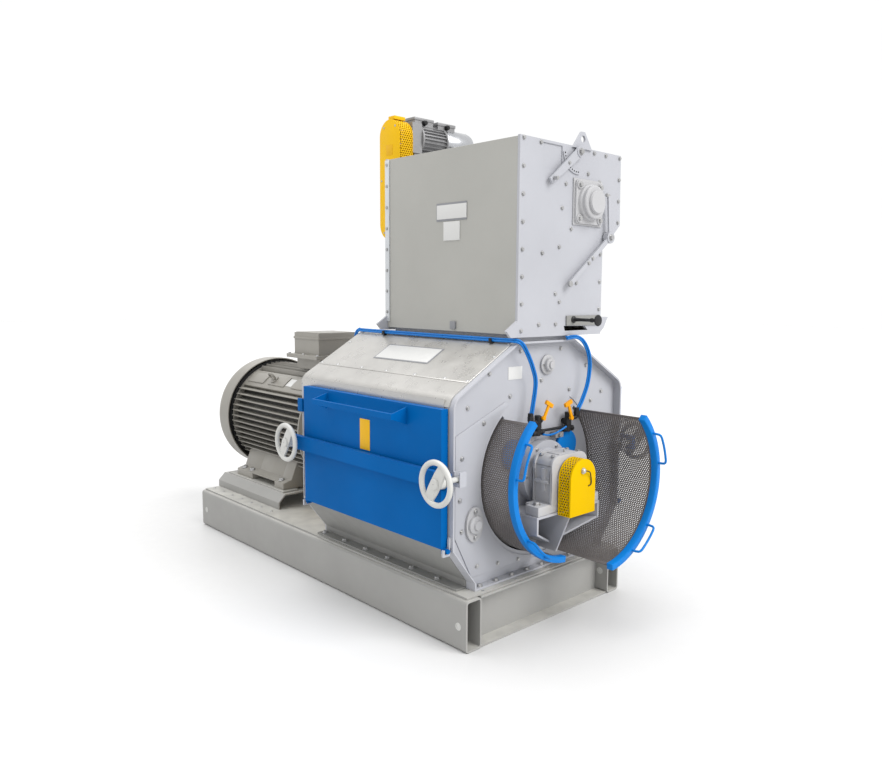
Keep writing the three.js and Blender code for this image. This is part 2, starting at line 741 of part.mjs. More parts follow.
function feederRoll() {
  const points = [];
  for (let i = 0; i < 10; i += 1) {
    for (const [da, r] of [[-5, ROLL_R], [5, ROLL_R], [11, 96], [25, 96]]) {
      const t = ((36 * i + da) * Math.PI) / 180;
      points.push([ROLL_Y + r * Math.cos(t), ROLL_Z + r * Math.sin(t)]);
    }
  }
  const body = alongX(points, 262, 1033);
  const shaft = rodX(28, 150, 1100, ROLL_Y, ROLL_Z, 20);
  return join([body, shaft]);
}

function feederBearing() {
  const flange = alongX(roundedRect(ROLL_Y - 86, ROLL_Y + 86, ROLL_Z - 86, ROLL_Z + 86, 14, 2),
    FEED_X1 + GAP, FEED_X1 + 15);
  const boss = rodX(64, FEED_X1 + 10, 1102, ROLL_Y, ROLL_Z, 24);
  const cap = rodX(44, 1100, 1116, ROLL_Y, ROLL_Z, 20);
  const bore = rodX(29.5, FEED_X1 - 5, 1104, ROLL_Y, ROLL_Z, 20);
  return cut(join([flange, boss, cap]), [bore]);
}

function wormGearbox() {
  const body = box(112, FEED_X0 - GAP, 140, 304, 1598, 1776);
  const nose = rodY(34, 100, 142, DRIVE_X, WORM_Z, 16);
  const output = rodX(29.5, 140, FEED_X0 + 5, ROLL_Y, ROLL_Z, 20);
  const input = rodY(13.5, 90, 290, DRIVE_X, WORM_Z, 12);
  return cut(join([body, nose]), [output, input]);
}

// stadium outline around the two sprocket axes
function stadium(r) {
  const out = [];
  for (let i = 0; i <= 12; i += 1) {
    const t = Math.PI + (i / 12) * Math.PI;
    out.push([DRIVE_X + r * Math.cos(t), WORM_Z + r * Math.sin(t)]);
  }
  for (let i = 0; i <= 12; i += 1) {
    const t = (i / 12) * Math.PI;
    out.push([DRIVE_X + r * Math.cos(t), DRIVE_Z + r * Math.sin(t)]);
  }
  return out;
}

function chainGuard() {
  const inside = alongY(stadium(70), -95, -23);
  const holes = [WORM_Z, DRIVE_Z].map((z) => rodY(22, -30, -10, DRIVE_X, z, 16));
  const tab = box(DRIVE_X - 16, DRIVE_X + 30, -92, -30, DRIVE_Z + 71, DRIVE_Z + 88);
  return cut(join([alongY(stadium(73), -98, -20), tab]), [inside, ...holes]);
}

function sprocket(z, y0, y1) {
  const points = [];
  for (let i = 0; i < 14; i += 1) {
    for (const [da, r] of [[-4, 52], [4, 52], [9, 45], [17, 45]]) {
      const t = (((360 / 14) * i + da) * Math.PI) / 180;
      points.push([DRIVE_X + r * Math.cos(t), z + r * Math.sin(t)]);
    }
  }
  return join([alongY(points, -66, -54), rodY(12, y0, y1, DRIVE_X, z, 12)]);
}

function gearmotor() {
  const gear = box(98, 228, -16, 40, DRIVE_Z - 70, DRIVE_Z + 66);
  const body = rodY(66, 38, 196, DRIVE_X, DRIVE_Z, 28);
  const profile = [[0, 190], [70, 190], [70, 350], [60, 374], [40, 386], [0, 386]];
  const cowl = new THREE.LatheGeometry(profile.map(([r, y]) => new THREE.Vector2(r, y)), 28);
  cowl.translate(DRIVE_X, 0, DRIVE_Z);
  const box1 = box(112, 210, 12, 122, DRIVE_Z + 50, DRIVE_Z + 96);
  const box2 = box(118, 206, 156, 262, DRIVE_Z + 50, DRIVE_Z + 92);
  const leg1 = box(104, 222, 0, 36, 1909, DRIVE_Z - 60);
  const leg2 = box(118, 208, 120, 150, 1909, DRIVE_Z - 50);
  const shelf = box(100, 420, -10, 300, FEED_TOP + GAP, 1910);
  const bore = rodY(13.5, -20, 24, DRIVE_X, DRIVE_Z, 12);
  const cowlTurned = clean(cowl);
  return cut(join([gear, body, cowlTurned, box1, box2, leg1, leg2, shelf]), [bore]);
}

// outline of a straight bar between two points of the (y, z) plane
function barOutline(p, q, w0, w1) {
  const d = new THREE.Vector2(q[0] - p[0], q[1] - p[1]).normalize();
  return [[p[0] + d.y * w0, p[1] - d.x * w0], [q[0] + d.y * w1, q[1] - d.x * w1],
    [q[0] - d.y * w1, q[1] + d.x * w1], [p[0] - d.y * w0, p[1] + d.x * w0]];
}

function gateLever() {
  const arm = alongX(barOutline(GATE, [-23, 1750], 19, 12), 1067, 1075);
  const hub = rodX(22, 1066, 1078, GATE[0], GATE[1], 16);
  const shaft = rodX(12, 262, 1068, GATE[0], GATE[1], 12);
  const gate = alongX(barOutline(GATE, [108, 1838], 3, 3), 264, 1030);
  return join([arm, hub, shaft, gate]);
}

function flapLever() {
  const diagonal = alongX(barOutline(FLAP, [100, 1360], 10, 10), 1074, 1082);
  const upright = alongX(barOutline(FLAP, [338, 1726], 8, 7), 1074, 1082);
  const hub = rodX(24, 1060, 1086, FLAP[0], FLAP[1], 16);
  const shaft = rodX(12, 262, 1062, FLAP[0], FLAP[1], 12);
  const flap = alongX(barOutline(FLAP, [266, 1460], 3, 3), 264, 1030);
  return join([diagonal, upright, hub, shaft, flap]);
}

function trapDrawer() {
  const face = box(FEED_X1 + GAP, 1062, 104, 318, 1192.5, 1233);
  const tray = cut(box(760, 1056, 114, 310, 1197, 1226), [box(764, 1052, 118, 306, 1201, 1240)]);
  const grip = rodX(13, 1060, 1188, 145, 1217, 14);
  const disc = rodX(28, 1186, 1192, 145, 1217, 20);
  return join([face, tray, grip, disc]);
}

add('feeder_front_plate', feederFrontPlate(), LIGHT_GREY);
add('feeder_back_plate', feederBackPlate(), LIGHT_GREY);
add('feeder_side_near', feederSideNear(), LIGHT_GREY);
add('feeder_side_far', feederSideFar(), LIGHT_GREY);
add('feeder_roll', feederRoll(), STEEL);
add('feeder_bearing', feederBearing(), LIGHT_GREY);
add('worm_gearbox', wormGearbox(), MOTOR_GREY);
add('chain_guard', chainGuard(), YELLOW);
add('lower_sprocket', sprocket(WORM_Z, -80, 280), STEEL);
add('upper_sprocket', sprocket(DRIVE_Z, -80, 20), STEEL);
add('gearmotor', gearmotor(), MOTOR_GREY);
add('gate_lever', gateLever(), LIGHT_GREY);
add('flap_lever', flapLever(), STEEL);
add('trap_drawer', trapDrawer(), BLACK);

// ---- air line ----
function hose(points, r, steps) {
  const path = new THREE.CatmullRomCurve3(points.map(([x, y, z]) => new THREE.Vector3(x, y, z)), false, 'centripetal');
  const shape = shapeOf(circle(0, 0, r, 8));
  return new THREE.ExtrudeGeometry(shape, { steps, extrudePath: path, bevelEnabled: false });
}

const NEAR_ROUTE = [[1069, -112, 834], [1069, -100, 885], [1069, -86, 975], [1069, -104, 1035],
  [1069, -138, 1095], [1068, -172, 1134], [1040, -190, 1142], [960, -190, 1141], [500, -190, 1141],
  [90, -190, 1142], [48, -190, 1143], [22, -190, 1122], [18, -190, 1050]];
const FAR_ROUTE = [[1069, 172, 836], [1069, 208, 885], [1069, 240, 950], [1069, 252, 1024],
  [1069, 240, 1080], [1069, 205, 1126], [1068, 160, 1146], [1066, 100, 1144]];

function airValves() {
  const near = [box(1028, 1062, -68, -18, 756, 846), box(BRACKET_X, 1030, -56, -30, 785, 815),
    box(1040, 1080, -126, -60, 808, 830)];
  const far = [box(1028, 1062, 122, 166, 762, 830), box(BRACKET_X, 1030, 132, 156, 785, 815),
    box(1040, 1080, 158, 190, 804, 828)];
  const link = rodY(6, -20, 124, 1048, 776, 8);
  return join([...near, ...far, link]);
}

function valveHandle(p, q) {
  const hub = rodX(9, 1062 + GAP, 1074, p[0], p[1], 12);
  const arm = alongX(barOutline(p, q, 6, 6), 1066, 1073);
  const d = new THREE.Vector2(q[0] - p[0], q[1] - p[1]).normalize();
  const tee = barOutline([q[0] + d.y * 22, q[1] - d.x * 22], [q[0] - d.y * 22, q[1] + d.x * 22], 8, 8);
  return join([hub, arm, alongX(tee, 1064, 1075)]);
}

add('air_hose_near', hose(NEAR_ROUTE, 9, 44), HOSE_BLUE);
add('air_hose_far', hose(FAR_ROUTE, 9, 22), HOSE_BLUE);
add('air_valves', airValves(), BLACK);
add('valve_handle_near', valveHandle([-33, 830], [-3, 884]), ORANGE);
add('valve_handle_far', valveHandle([140, 814], [116, 876]), ORANGE);

export default group;
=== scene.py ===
"""Looks of a grain hammer mill, built in Blender 4.5 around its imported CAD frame."""
import json
import math

import bmesh
import bpy
from mathutils import Matrix, Vector


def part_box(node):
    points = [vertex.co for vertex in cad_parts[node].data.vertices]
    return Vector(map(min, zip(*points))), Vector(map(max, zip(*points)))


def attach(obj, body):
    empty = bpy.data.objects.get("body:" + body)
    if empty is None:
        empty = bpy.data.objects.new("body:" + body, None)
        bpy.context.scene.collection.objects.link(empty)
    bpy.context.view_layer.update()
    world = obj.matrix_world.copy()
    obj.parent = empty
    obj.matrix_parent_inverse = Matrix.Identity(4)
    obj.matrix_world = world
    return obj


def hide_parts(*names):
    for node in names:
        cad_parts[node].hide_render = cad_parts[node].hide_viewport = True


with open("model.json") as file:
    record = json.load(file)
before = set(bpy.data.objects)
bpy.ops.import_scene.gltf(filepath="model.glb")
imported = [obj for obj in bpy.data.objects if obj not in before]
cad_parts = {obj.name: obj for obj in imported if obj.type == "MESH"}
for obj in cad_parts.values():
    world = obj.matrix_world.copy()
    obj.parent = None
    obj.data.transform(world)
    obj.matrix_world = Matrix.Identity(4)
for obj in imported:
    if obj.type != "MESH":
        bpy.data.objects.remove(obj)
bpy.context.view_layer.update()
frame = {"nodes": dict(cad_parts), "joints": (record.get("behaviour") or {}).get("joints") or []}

MM = 0.001
SIDES = ((-1, "near"), (1, "far"))
NODES = frame["nodes"]
X, Y, Z = Vector((1, 0, 0)), Vector((0, 1, 0)), Vector((0, 0, 1))


def corners(node):
    """Lowest and highest corner of a CAD node, in millimetres."""
    low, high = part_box(node)
    return low / MM, high / MM


def joint_at(name):
    """A joint's position, in millimetres."""
    return Vector(next(j for j in frame["joints"] if j["name"] == name)["pos_m"]) / MM


# ---- places read from the frame and driving sizes, in millimetres ----
AXIS_Z = joint_at("rotor_spin").z
PLATE_X = corners("mill_front_plate")[0].x + 12
BED_TOP = corners("bed_plate")[1].z
FOOT_TOP = corners("lower_side_near")[0].z + 8
ROLL_AT = joint_at("roll_spin")
FEED_X = 1055
GATE_AT = joint_at("feed_gate_lever")
FLAP_AT = joint_at("trap_flap_lever")
DRIVE_AT = joint_at("drive_sprocket_spin")
WORM_AT = joint_at("worm_sprocket_spin")
GUARD_LOW, GUARD_HIGH = corners("bearing_guard")
COWL_LOW, COWL_HIGH = corners("motor_fan_cowl")
WHEEL_Z = joint_at("near_front_wheel_turn").z
WHEEL_R, WHEEL_Y = 86, 600
SCREEN_R = 321  # middle of the punched sheet
FEED_SIDE = -180.2  # near face of the feeder
BLOCK_FOOT = 480.3  # underside of the bearing blocks
BRACKET_REACH, BRACKET_HALF = 164, 190
MOTOR_START, MOTOR_END = -1048, -338
CORE_R, FIN_R, PAD_R = 262, 300, 288
PAD_TURN = math.radians(51)  # from level up to the middle of the motor's lifting pads
GUARD_R = 76  # bearing guard's arch
CASE_R = 73  # round ends of the chain case


# ---- materials ----
# Pale colour for dust and painted top light: faces that point up are lightened towards it.
DUST_AND_TOP_LIGHT = (0.66, 0.65, 0.60, 1.0)


def node(tree, kind, inputs=None, **settings):
    """A shader node with its settings and its input values or links."""
    made = tree.nodes.new(kind)
    for key, value in settings.items():
        setattr(made, key, value)
    for key, value in (inputs or {}).items():
        if isinstance(value, bpy.types.NodeSocket):
            tree.links.new(value, made.inputs[key])
        else:
            made.inputs[key].default_value = value
    return made


def rgba(colour, gain=1.0):
    """Opaque colour, darkened or lightened."""
    return tuple(min(1.0, c * gain) for c in colour) + (1.0,)


def mixed(tree, factor, a, b):
    """Colour mix of a and b, each a socket or a colour."""
    made = tree.nodes.new("ShaderNodeMix")
    made.data_type = "RGBA"
    for key, value in (("Factor", factor), ("A", a), ("B", b)):
        sockets = [s for s in made.inputs if s.name == key and s.enabled]
        if isinstance(value, bpy.types.NodeSocket):
            tree.links.new(value, sockets[0])
        else:
            sockets[0].default_value = value
    return next(s for s in made.outputs if s.enabled)


def ranged(tree, value, low, high, from_low=0.3, from_high=0.7):
    """Carries a value from one range to another."""
    return node(tree, "ShaderNodeMapRange", {
        "Value": value, "From Min": from_low, "From Max": from_high, "To Min": low, "To Max": high,
    }).outputs["Result"]


def noise(tree, coords, scale, detail=3.0, stretch=None):
    if stretch:
        coords = node(tree, "ShaderNodeMapping", {"Vector": coords, "Scale": stretch}).outputs["Vector"]
    inputs = {"Vector": coords, "Scale": scale, "Detail": detail}
    return node(tree, "ShaderNodeTexNoise", inputs).outputs["Fac"]


def surface(name, colour, rough, metal=0.0, spread=0.05, grain=260.0, bump=0.10, dust_and_top_light=0.0,
            stretch=None, specks=0.0, shine=0.3):
    """Procedural finish: broad tone changes, fine texture in bump and roughness, specks, and dust together
    with painted top light: upward faces lightened in patches towards a pale colour.
    """
    material = bpy.data.materials.new(name)
    material.use_nodes = True
    tree = material.node_tree
    shader = tree.nodes["Principled BSDF"]
    shader.inputs["Metallic"].default_value = metal
    shader.inputs["Specular IOR Level"].default_value = shine
    coords = node(tree, "ShaderNodeTexCoord").outputs["Object"]
    broad = noise(tree, coords, 3.1, 5.0)
    fine = noise(tree, coords, grain, 3.0, stretch)
    tone = mixed(tree, ranged(tree, broad, 0.0, 1.0), rgba(colour, 1 - spread), rgba(colour, 1 + spread))
    if specks:
        dots = node(tree, "ShaderNodeTexVoronoi", {"Vector": coords, "Scale": 70.0}).outputs["Distance"]
        tone = mixed(tree, ranged(tree, dots, specks, 0.0, 0.04, 0.12), tone, rgba(colour, 0.45))
    # Dust and painted top light: upward faces are lightened towards a pale colour, in patches.
    if dust_and_top_light:
        normal = node(tree, "ShaderNodeNewGeometry").outputs["Normal"]
        up = node(tree, "ShaderNodeSeparateXYZ", {"Vector": normal})
        level = ranged(tree, up.outputs["Z"], 0.0, dust_and_top_light, 0.75, 1.0)
        patches = ranged(tree, noise(tree, coords, 14.0, 6.0), 0.45, 1.0)
        dust_and_top_light_mask = node(tree, "ShaderNodeMath", {0: level, 1: patches}, operation="MULTIPLY")
        tone = mixed(tree, dust_and_top_light_mask.outputs["Value"], tone, DUST_AND_TOP_LIGHT)
    tree.links.new(tone, shader.inputs["Base Color"])
    smear = noise(tree, coords, 17.0, 4.0)
    level = ranged(tree, smear, rough - 0.06, rough + 0.08)
    tree.links.new(level, shader.inputs["Roughness"])
    lift = node(tree, "ShaderNodeBump", {"Height": fine, "Strength": bump, "Distance": 0.0008})
    tree.links.new(lift.outputs["Normal"], shader.inputs["Normal"])
    return material


PAINT = {
    # The base's strong lightening of its upward faces is partly dust, partly painted top light.
    "base": surface("base_paint", (0.305, 0.302, 0.29), 0.42, spread=0.05, dust_and_top_light=0.58, specks=0.10),
    "housing": surface("housing_paint", (0.40, 0.407, 0.438), 0.40, spread=0.04, dust_and_top_light=0.05, specks=0.06),
    "panel": surface("panel_paint", (0.375, 0.372, 0.348), 0.46, spread=0.04, grain=420, bump=0.14),
    "cover": surface("brushed_cover", (0.47, 0.46, 0.44), 0.30, metal=0.6, spread=0.10, grain=70, bump=0.02,
                     stretch=(0.04, 1.0, 1.0), shine=0.5),
    # Grey darkened as painted shade, for the housing's lower sides under the doors and for the trap drawer's
    # tray.
    "shaded": surface("painted_shade_grey", (0.235, 0.235, 0.226), 0.46, spread=0.06, specks=0.06),
    "galvanised": surface("galvanised_strip", (0.58, 0.60, 0.62), 0.36, metal=0.3, spread=0.07, grain=90,
                          bump=0.05),
    "motor": surface("motor_enamel", (0.25, 0.238, 0.212), 0.38, spread=0.08, grain=180, bump=0.2, dust_and_top_light=0.2,
                     shine=0.5),
    # Near-black core colour: painted shade in the gaps between the motor's fins.
    "motor_core_shade": surface("motor_core_painted_shade", (0.035, 0.033, 0.030), 0.55, spread=0.15, grain=180, bump=0.2),
    "yellow": surface("guard_yellow", (0.66, 0.41, 0.0), 0.40, spread=0.05, dust_and_top_light=0.02, shine=0.04),
    "deep_yellow": surface("chain_case_yellow", (0.78, 0.46, 0.006), 0.38, dust_and_top_light=0.08, shine=0.12),
    "blue": surface("door_blue", (0.0005, 0.098, 0.335), 0.40, spread=0.07, grain=340, bump=0.07, dust_and_top_light=0.02,
                    shine=0.03),
    "bright_blue": surface("rim_blue", (0.003, 0.165, 0.52), 0.34, spread=0.07, bump=0.06, shine=0.14),
    "white": surface("wheel_white", (0.52, 0.52, 0.50), 0.33, spread=0.04, bump=0.06, shine=0.5),
    "casting": surface("casting_paint", (0.42, 0.42, 0.43), 0.48, spread=0.06, grain=150, bump=0.35,
                       specks=0.08),
    "steel": surface("ground_steel", (0.55, 0.55, 0.56), 0.28, metal=1.0, spread=0.08, grain=500,
                     stretch=(0.05, 1.0, 1.0)),
    "dark_steel": surface("oiled_steel", (0.17, 0.16, 0.155), 0.42, metal=0.85, spread=0.18, grain=220,
                          bump=0.25),
    "screen": surface("punched_sheet", (0.15, 0.138, 0.135), 0.48, metal=0.35, spread=0.2, grain=240),
    "zinc": surface("zinc_fasteners", (0.42, 0.42, 0.42), 0.34, metal=0.75, spread=0.12, grain=600,
                    bump=0.12),
    "alloy": surface("cast_alloy", (0.30, 0.30, 0.305), 0.42, metal=0.4, spread=0.10, grain=200, bump=0.28),
    "chrome": surface("polished_cowl", (0.50, 0.51, 0.53), 0.22, metal=0.9, spread=0.08, grain=300,
                      stretch=(1.0, 0.05, 1.0)),
    "black": surface("black_plastic", (0.012, 0.012, 0.013), 0.42, spread=0.2, grain=500, bump=0.15),
    "rubber": surface("black_rubber", (0.014, 0.014, 0.014), 0.62, spread=0.2, grain=700, bump=0.2),
    "orange": surface("orange_grip", (0.72, 0.30, 0.004), 0.34, spread=0.05, bump=0.05, shine=0.15),
    "hose": surface("blue_hose", (0.006, 0.155, 0.50), 0.30, spread=0.06, grain=420, bump=0.05, shine=0.25),
    "label": surface("blank_plate", (0.60, 0.60, 0.59), 0.38, spread=0.03, bump=0.04),
    "border": surface("plate_border", (0.24, 0.245, 0.26), 0.42, spread=0.05, bump=0.04),
    "label_yellow": surface("blank_yellow_plate", (0.72, 0.40, 0.01), 0.40, spread=0.04, bump=0.04,
                            shine=0.15),
}


# ---- mesh building, in millimetres ----
def turn_to(axis):
    """Rotation that takes +Z to an axis."""
    return Z.rotation_difference(Vector(axis).normalized()).to_matrix().to_4x4()


def place_on(axis):
    """Matrix that takes an outline's (a, b) and its depth to the plane across an axis."""
    columns = {"x": (Y, Z, X), "y": (X, Z, Y), "z": (X, Y, Z)}[axis]
    return Matrix([[c[i] for c in columns] for i in range(3)]).to_4x4()


def turned_about(at, degrees, axis):
    """Moves an origin-centred shape to a place and turns it about an axis."""
    return Matrix.Translation(at) @ Matrix.Rotation(math.radians(degrees), 4, axis)


def solid_between(lower, upper):
    """Closed solid between two loops of as many points."""
    bm = bmesh.new()
    lower = [bm.verts.new(p) for p in lower]
    upper = [bm.verts.new(p) for p in upper]
    bm.faces.new(lower)
    bm.faces.new(upper)
    for i in range(len(lower)):
        j = (i + 1) % len(lower)
        bm.faces.new((lower[i], lower[j], upper[j], upper[i]))
    bmesh.ops.recalc_face_normals(bm, faces=bm.faces)
    return bm


def rounded(bm, edges, width):
    """Rounds some edges off."""
    bmesh.ops.bevel(bm, geom=edges, offset=width, segments=2, profile=0.6, affect="EDGES")


class Piece:
    """Collects closed shapes into one mesh that rides on a body."""

    def __init__(self):
        self.verts = []
        self.faces = []

    def take(self, bm, matrix=None):
        """Adds a bmesh's faces and frees it."""
        base = len(self.verts)
        bm.verts.index_update()
        for v in bm.verts:
            self.verts.append(matrix @ v.co if matrix else v.co.copy())
        for f in bm.faces:
            self.faces.append([base + v.index for v in f.verts])
        bm.free()

    def prism(self, outline, axis, low, high, bevel=0.0, matrix=None):
        bm = solid_between([(a, b, low) for a, b in outline], [(a, b, high) for a, b in outline])
        if bevel:
            rounded(bm, [e for e in bm.edges if e.calc_face_angle(0) > math.radians(25)], bevel)
        whole = place_on(axis)
        self.take(bm, matrix @ whole if matrix else whole)

    def box(self, low, high, bevel=0.8, matrix=None):
        outline = [(low[0], low[1]), (high[0], low[1]), (high[0], high[1]), (low[0], high[1])]
        self.prism(outline, "z", low[2], high[2], bevel, matrix)

    def lathe(self, profile, at, axis, segments=32):
        """Turns (radius, height) points round an axis; a profile off the axis closes on itself."""
        bm = bmesh.new()
        rings = []
        for r, h in profile:
            if r < 1e-6:
                rings.append([bm.verts.new((0, 0, h))])
            else:
                angles = [2 * math.pi * i / segments for i in range(segments)]
                rings.append([bm.verts.new((r * math.cos(t), r * math.sin(t), h)) for t in angles])
        pairs = list(zip(rings, rings[1:]))
        if len(rings[0]) > 1 and len(rings[-1]) > 1:
            pairs.append((rings[-1], rings[0]))
        for a, b in pairs:
            if len(a) == len(b) == 1:
                continue
            for i in range(segments):
                j = (i + 1) % segments
                ring = [a[i % len(a)], a[j % len(a)], b[j % len(b)], b[i % len(b)]]
                bm.faces.new(list(dict.fromkeys(ring)))
        self.take(bm, Matrix.Translation(Vector(at)) @ turn_to(axis))

    def rod(self, radius, start, end, segments=24, edge=1.0):
        start, end = Vector(start), Vector(end)
        h = (end - start).length
        e = min(edge, radius * 0.4, h * 0.4)
        profile = [(0, 0), (radius - e, 0), (radius, e), (radius, h - e), (radius - e, h), (0, h)]
        self.lathe(profile, start, end - start, segments)

    def bolt(self, at, axis, size=10.0):
        """Hexagon head of that corner radius on a washer."""
        washer, head = size * 0.2, size * 0.9
        r = size * 1.28
        self.lathe([(0, 0), (r, 0), (r, washer * 0.7), (r * 0.95, washer), (0, washer)], at, axis, 20)
        profile = [(0, washer), (size, washer), (size, head * 0.86), (size * 0.86, head), (0, head)]
        self.lathe(profile, at, axis, 6)

    def screw(self, at, axis, radius=6.0):
        """Low domed head."""
        rise = radius * 0.45
        profile = [(0, 0), (radius, 0), (radius * 0.94, rise * 0.5), (radius * 0.6, rise * 0.9), (0, rise)]
        self.lathe(profile, at, axis, 16)

    def tube(self, points, radius, sides=14, closed=False):
        """Round bar along a smooth polyline, with a frame that doesn't twist."""
        points = [Vector(p) for p in points]
        count = len(points)
        bm = bmesh.new()
        rings = []
        side = None
        for i, p in enumerate(points):
            after = points[(i + 1) % count] if closed or i + 1 < count else p
            before = points[i - 1] if closed or i else p
            direction = (after - before).normalized()
            if side is None:
                side = direction.orthogonal().normalized()
            side = (side - direction * side.dot(direction)).normalized()
            other = direction.cross(side)
            angles = [2 * math.pi * k / sides for k in range(sides)]
            around = [side * math.cos(t) + other * math.sin(t) for t in angles]
            rings.append([bm.verts.new(p + radius * v) for v in around])
        pairs = list(zip(rings, rings[1:]))
        if closed:
            pairs.append((rings[-1], rings[0]))
        else:
            bm.faces.new(rings[0])
            bm.faces.new(rings[-1])
        for a, b in pairs:
            for k in range(sides):
                j = (k + 1) % sides
                bm.faces.new((a[k], a[j], b[j], b[k]))
        self.take(bm)

    def plate(self, outline, holes, axis, low, high, edge=0.6):
        """Flat plate with holes, from filled 2-D curves."""
        curve = bpy.data.curves.new("outline", "CURVE")
        curve.dimensions = "2D"
        curve.fill_mode = "BOTH"
        curve.extrude = (high - low) / 2 - edge
        curve.bevel_depth = edge
        curve.bevel_resolution = 1
        curve.offset = -edge
        for loop in [outline, *holes]:
            spline = curve.splines.new("POLY")
            spline.points.add(len(loop) - 1)
            spline.use_cyclic_u = True
            for point, (a, b) in zip(spline.points, loop):
                point.co = (a, b, 0, 1)
        holder = bpy.data.objects.new("outline", curve)
        mesh = bpy.data.meshes.new_from_object(holder)
        bm = bmesh.new()
        bm.from_mesh(mesh)
        bmesh.ops.remove_doubles(bm, verts=bm.verts, dist=0.01)
        self.take(bm, place_on(axis) @ Matrix.Translation((0, 0, (low + high) / 2)))
        bpy.data.objects.remove(holder)
        bpy.data.curves.remove(curve)
        bpy.data.meshes.remove(mesh)

    def perforated(self, place, width, length, pitch, hole, thick, keep=None, sides=6):
        """Punched sheet: staggered round holes over width by length, put in space by place(u, v, w)."""
        row = pitch * math.sqrt(3) / 2
        corner = pitch / math.sqrt(3)
        found = {}
        walls = {}

        def vertex(u, v, w):
            key = (round(u * 20), round(v * 20), w)
            if key not in found:
                found[key] = len(self.verts)
                self.verts.append(Vector(place(u, v, w * thick / 2)))
            return found[key]

        for j in range(int((length - corner * 2) / row) + 1):
            for i in range(int((width - pitch) / pitch) + 1):
                u = pitch * (i + 0.5 + 0.5 * (j % 2))
                v = corner + row * j
                if u + pitch / 2 > width + 0.1 or (keep and not keep(u, v)):
                    continue
                rims, outers = [], []
                for w in (1, -1):
                    outer, inner = [], []
                    for k in range(sides):
                        t = 2 * math.pi * k / sides + math.pi / 6
                        bend = ((t - math.pi / 6) % (math.pi / 3)) - math.pi / 6
                        reach = pitch / 2 / math.cos(bend)
                        outer.append(vertex(u + reach * math.cos(t), v + reach * math.sin(t), w))
                        inner.append(vertex(u + hole * math.cos(t), v + hole * math.sin(t), w))
                    rims.append(inner)
                    outers.append(outer)
                    for k in range(sides):
                        m = (k + 1) % sides
                        quad = [outer[k], outer[m], inner[m], inner[k]]
                        self.faces.append(quad if w > 0 else quad[::-1])
                for k in range(sides):
                    m = (k + 1) % sides
                    self.faces.append([rims[0][k], rims[0][m], rims[1][m], rims[1][k]])
                    wall = [outers[0][m], outers[0][k], outers[1][k], outers[1][m]]
                    key = tuple(sorted(wall))
                    if walls.pop(key, None) is None:
                        walls[key] = wall
        self.faces += walls.values()

    def done(self, name, finish, body="frame", replaces=()):
        """Makes the object, smooth but for its sharp edges."""
        mesh = bpy.data.meshes.new(name)
        mesh.from_pydata([v * MM for v in self.verts], [], self.faces)
        bm = bmesh.new()
        bm.from_mesh(mesh)
        bmesh.ops.recalc_face_normals(bm, faces=bm.faces)
        bm.to_mesh(mesh)
        bm.free()
        mesh.shade_smooth()
        mesh.set_sharp_from_angle(angle=math.radians(32))
        mesh.materials.append(PAINT[finish])
        obj = bpy.data.objects.new(name, mesh)
        bpy.context.scene.collection.objects.link(obj)
        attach(obj, body)
        if replaces:
            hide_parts(*replaces)
        return obj


def arc(centre, radius, start, end, count):
    """Points of an arc in a plane; degrees."""
    out = []
    for i in range(count + 1):
        t = math.radians(start + (end - start) * i / count)
        out.append((centre[0] + radius * math.cos(t), centre[1] + radius * math.sin(t)))
    return out


def ring(a, b, radius, count=32):
    """Points of a full circle."""
    return arc((a, b), radius, 0, 360 - 360 / count, count - 1)


# ---- camera, floor and light ----
def camera():
    """Stands off the near front corner, a little above the doors, and looks down at the middle."""
    yaw, pitch, roll = 0.79526, 0.11687, 0.010728
    forward = Vector((-math.sin(yaw) * math.cos(pitch), math.cos(yaw) * math.cos(pitch), -math.sin(pitch)))
    right = Vector((math.cos(yaw), math.sin(yaw), 0))
    up = right.cross(forward)
    side = right * math.cos(roll) + up * math.sin(roll)
    top = up * math.cos(roll) - right * math.sin(roll)
    data = bpy.data.cameras.new("camera")
    data.sensor_width = 36
    data.lens = 31.48
    data.shift_x, data.shift_y = -0.0483, -0.0023
    data.clip_start, data.clip_end = 0.05, 100
    obj = bpy.data.objects.new("camera", data)
    turn = Matrix((side, top, -forward)).transposed().to_4x4()
    obj.matrix_world = Matrix.Translation((3.0549, -2.3165, 1.3206)) @ turn
    bpy.context.scene.collection.objects.link(obj)
    bpy.context.scene.camera = obj


def sun(name, towards, strength, softness, colour):
    """Broad soft light that comes from a direction."""
    data = bpy.data.lights.new(name, "SUN")
    data.energy = strength
    data.angle = math.radians(softness)
    data.color = colour
    obj = bpy.data.objects.new(name, data)
    obj.rotation_euler = Vector(towards).to_track_quat("Z", "Y").to_euler()
    bpy.context.scene.collection.objects.link(obj)


def studio():
    """White surroundings, two broad soft lights and a pale floor."""
    world = bpy.data.worlds.new("studio")
    bpy.context.scene.world = world
    world.use_nodes = True
    background = world.node_tree.nodes["Background"]
    background.inputs["Color"].default_value = (1.0, 1.0, 1.0, 1)
    background.inputs["Strength"].default_value = 1.01
    bpy.context.scene.view_settings.view_transform = "Standard"
    sun("key", (0.74, 0.22, 0.64), 2.3, 35, (1.0, 0.99, 0.98))
    sun("top", (-0.30, -0.12, 0.95), 1.5, 50, (1.0, 1.0, 1.0))
    bm = bmesh.new()
    bmesh.ops.create_grid(bm, x_segments=8, y_segments=8, size=30)
    mesh = bpy.data.meshes.new("floor")
    bm.to_mesh(mesh)
    bm.free()
    floor = bpy.data.objects.new("floor", mesh)
    bpy.context.scene.collection.objects.link(floor)
    mesh.materials.append(surface("studio_floor", (0.62, 0.62, 0.62), 0.5, spread=0.004, grain=60, bump=0.01))


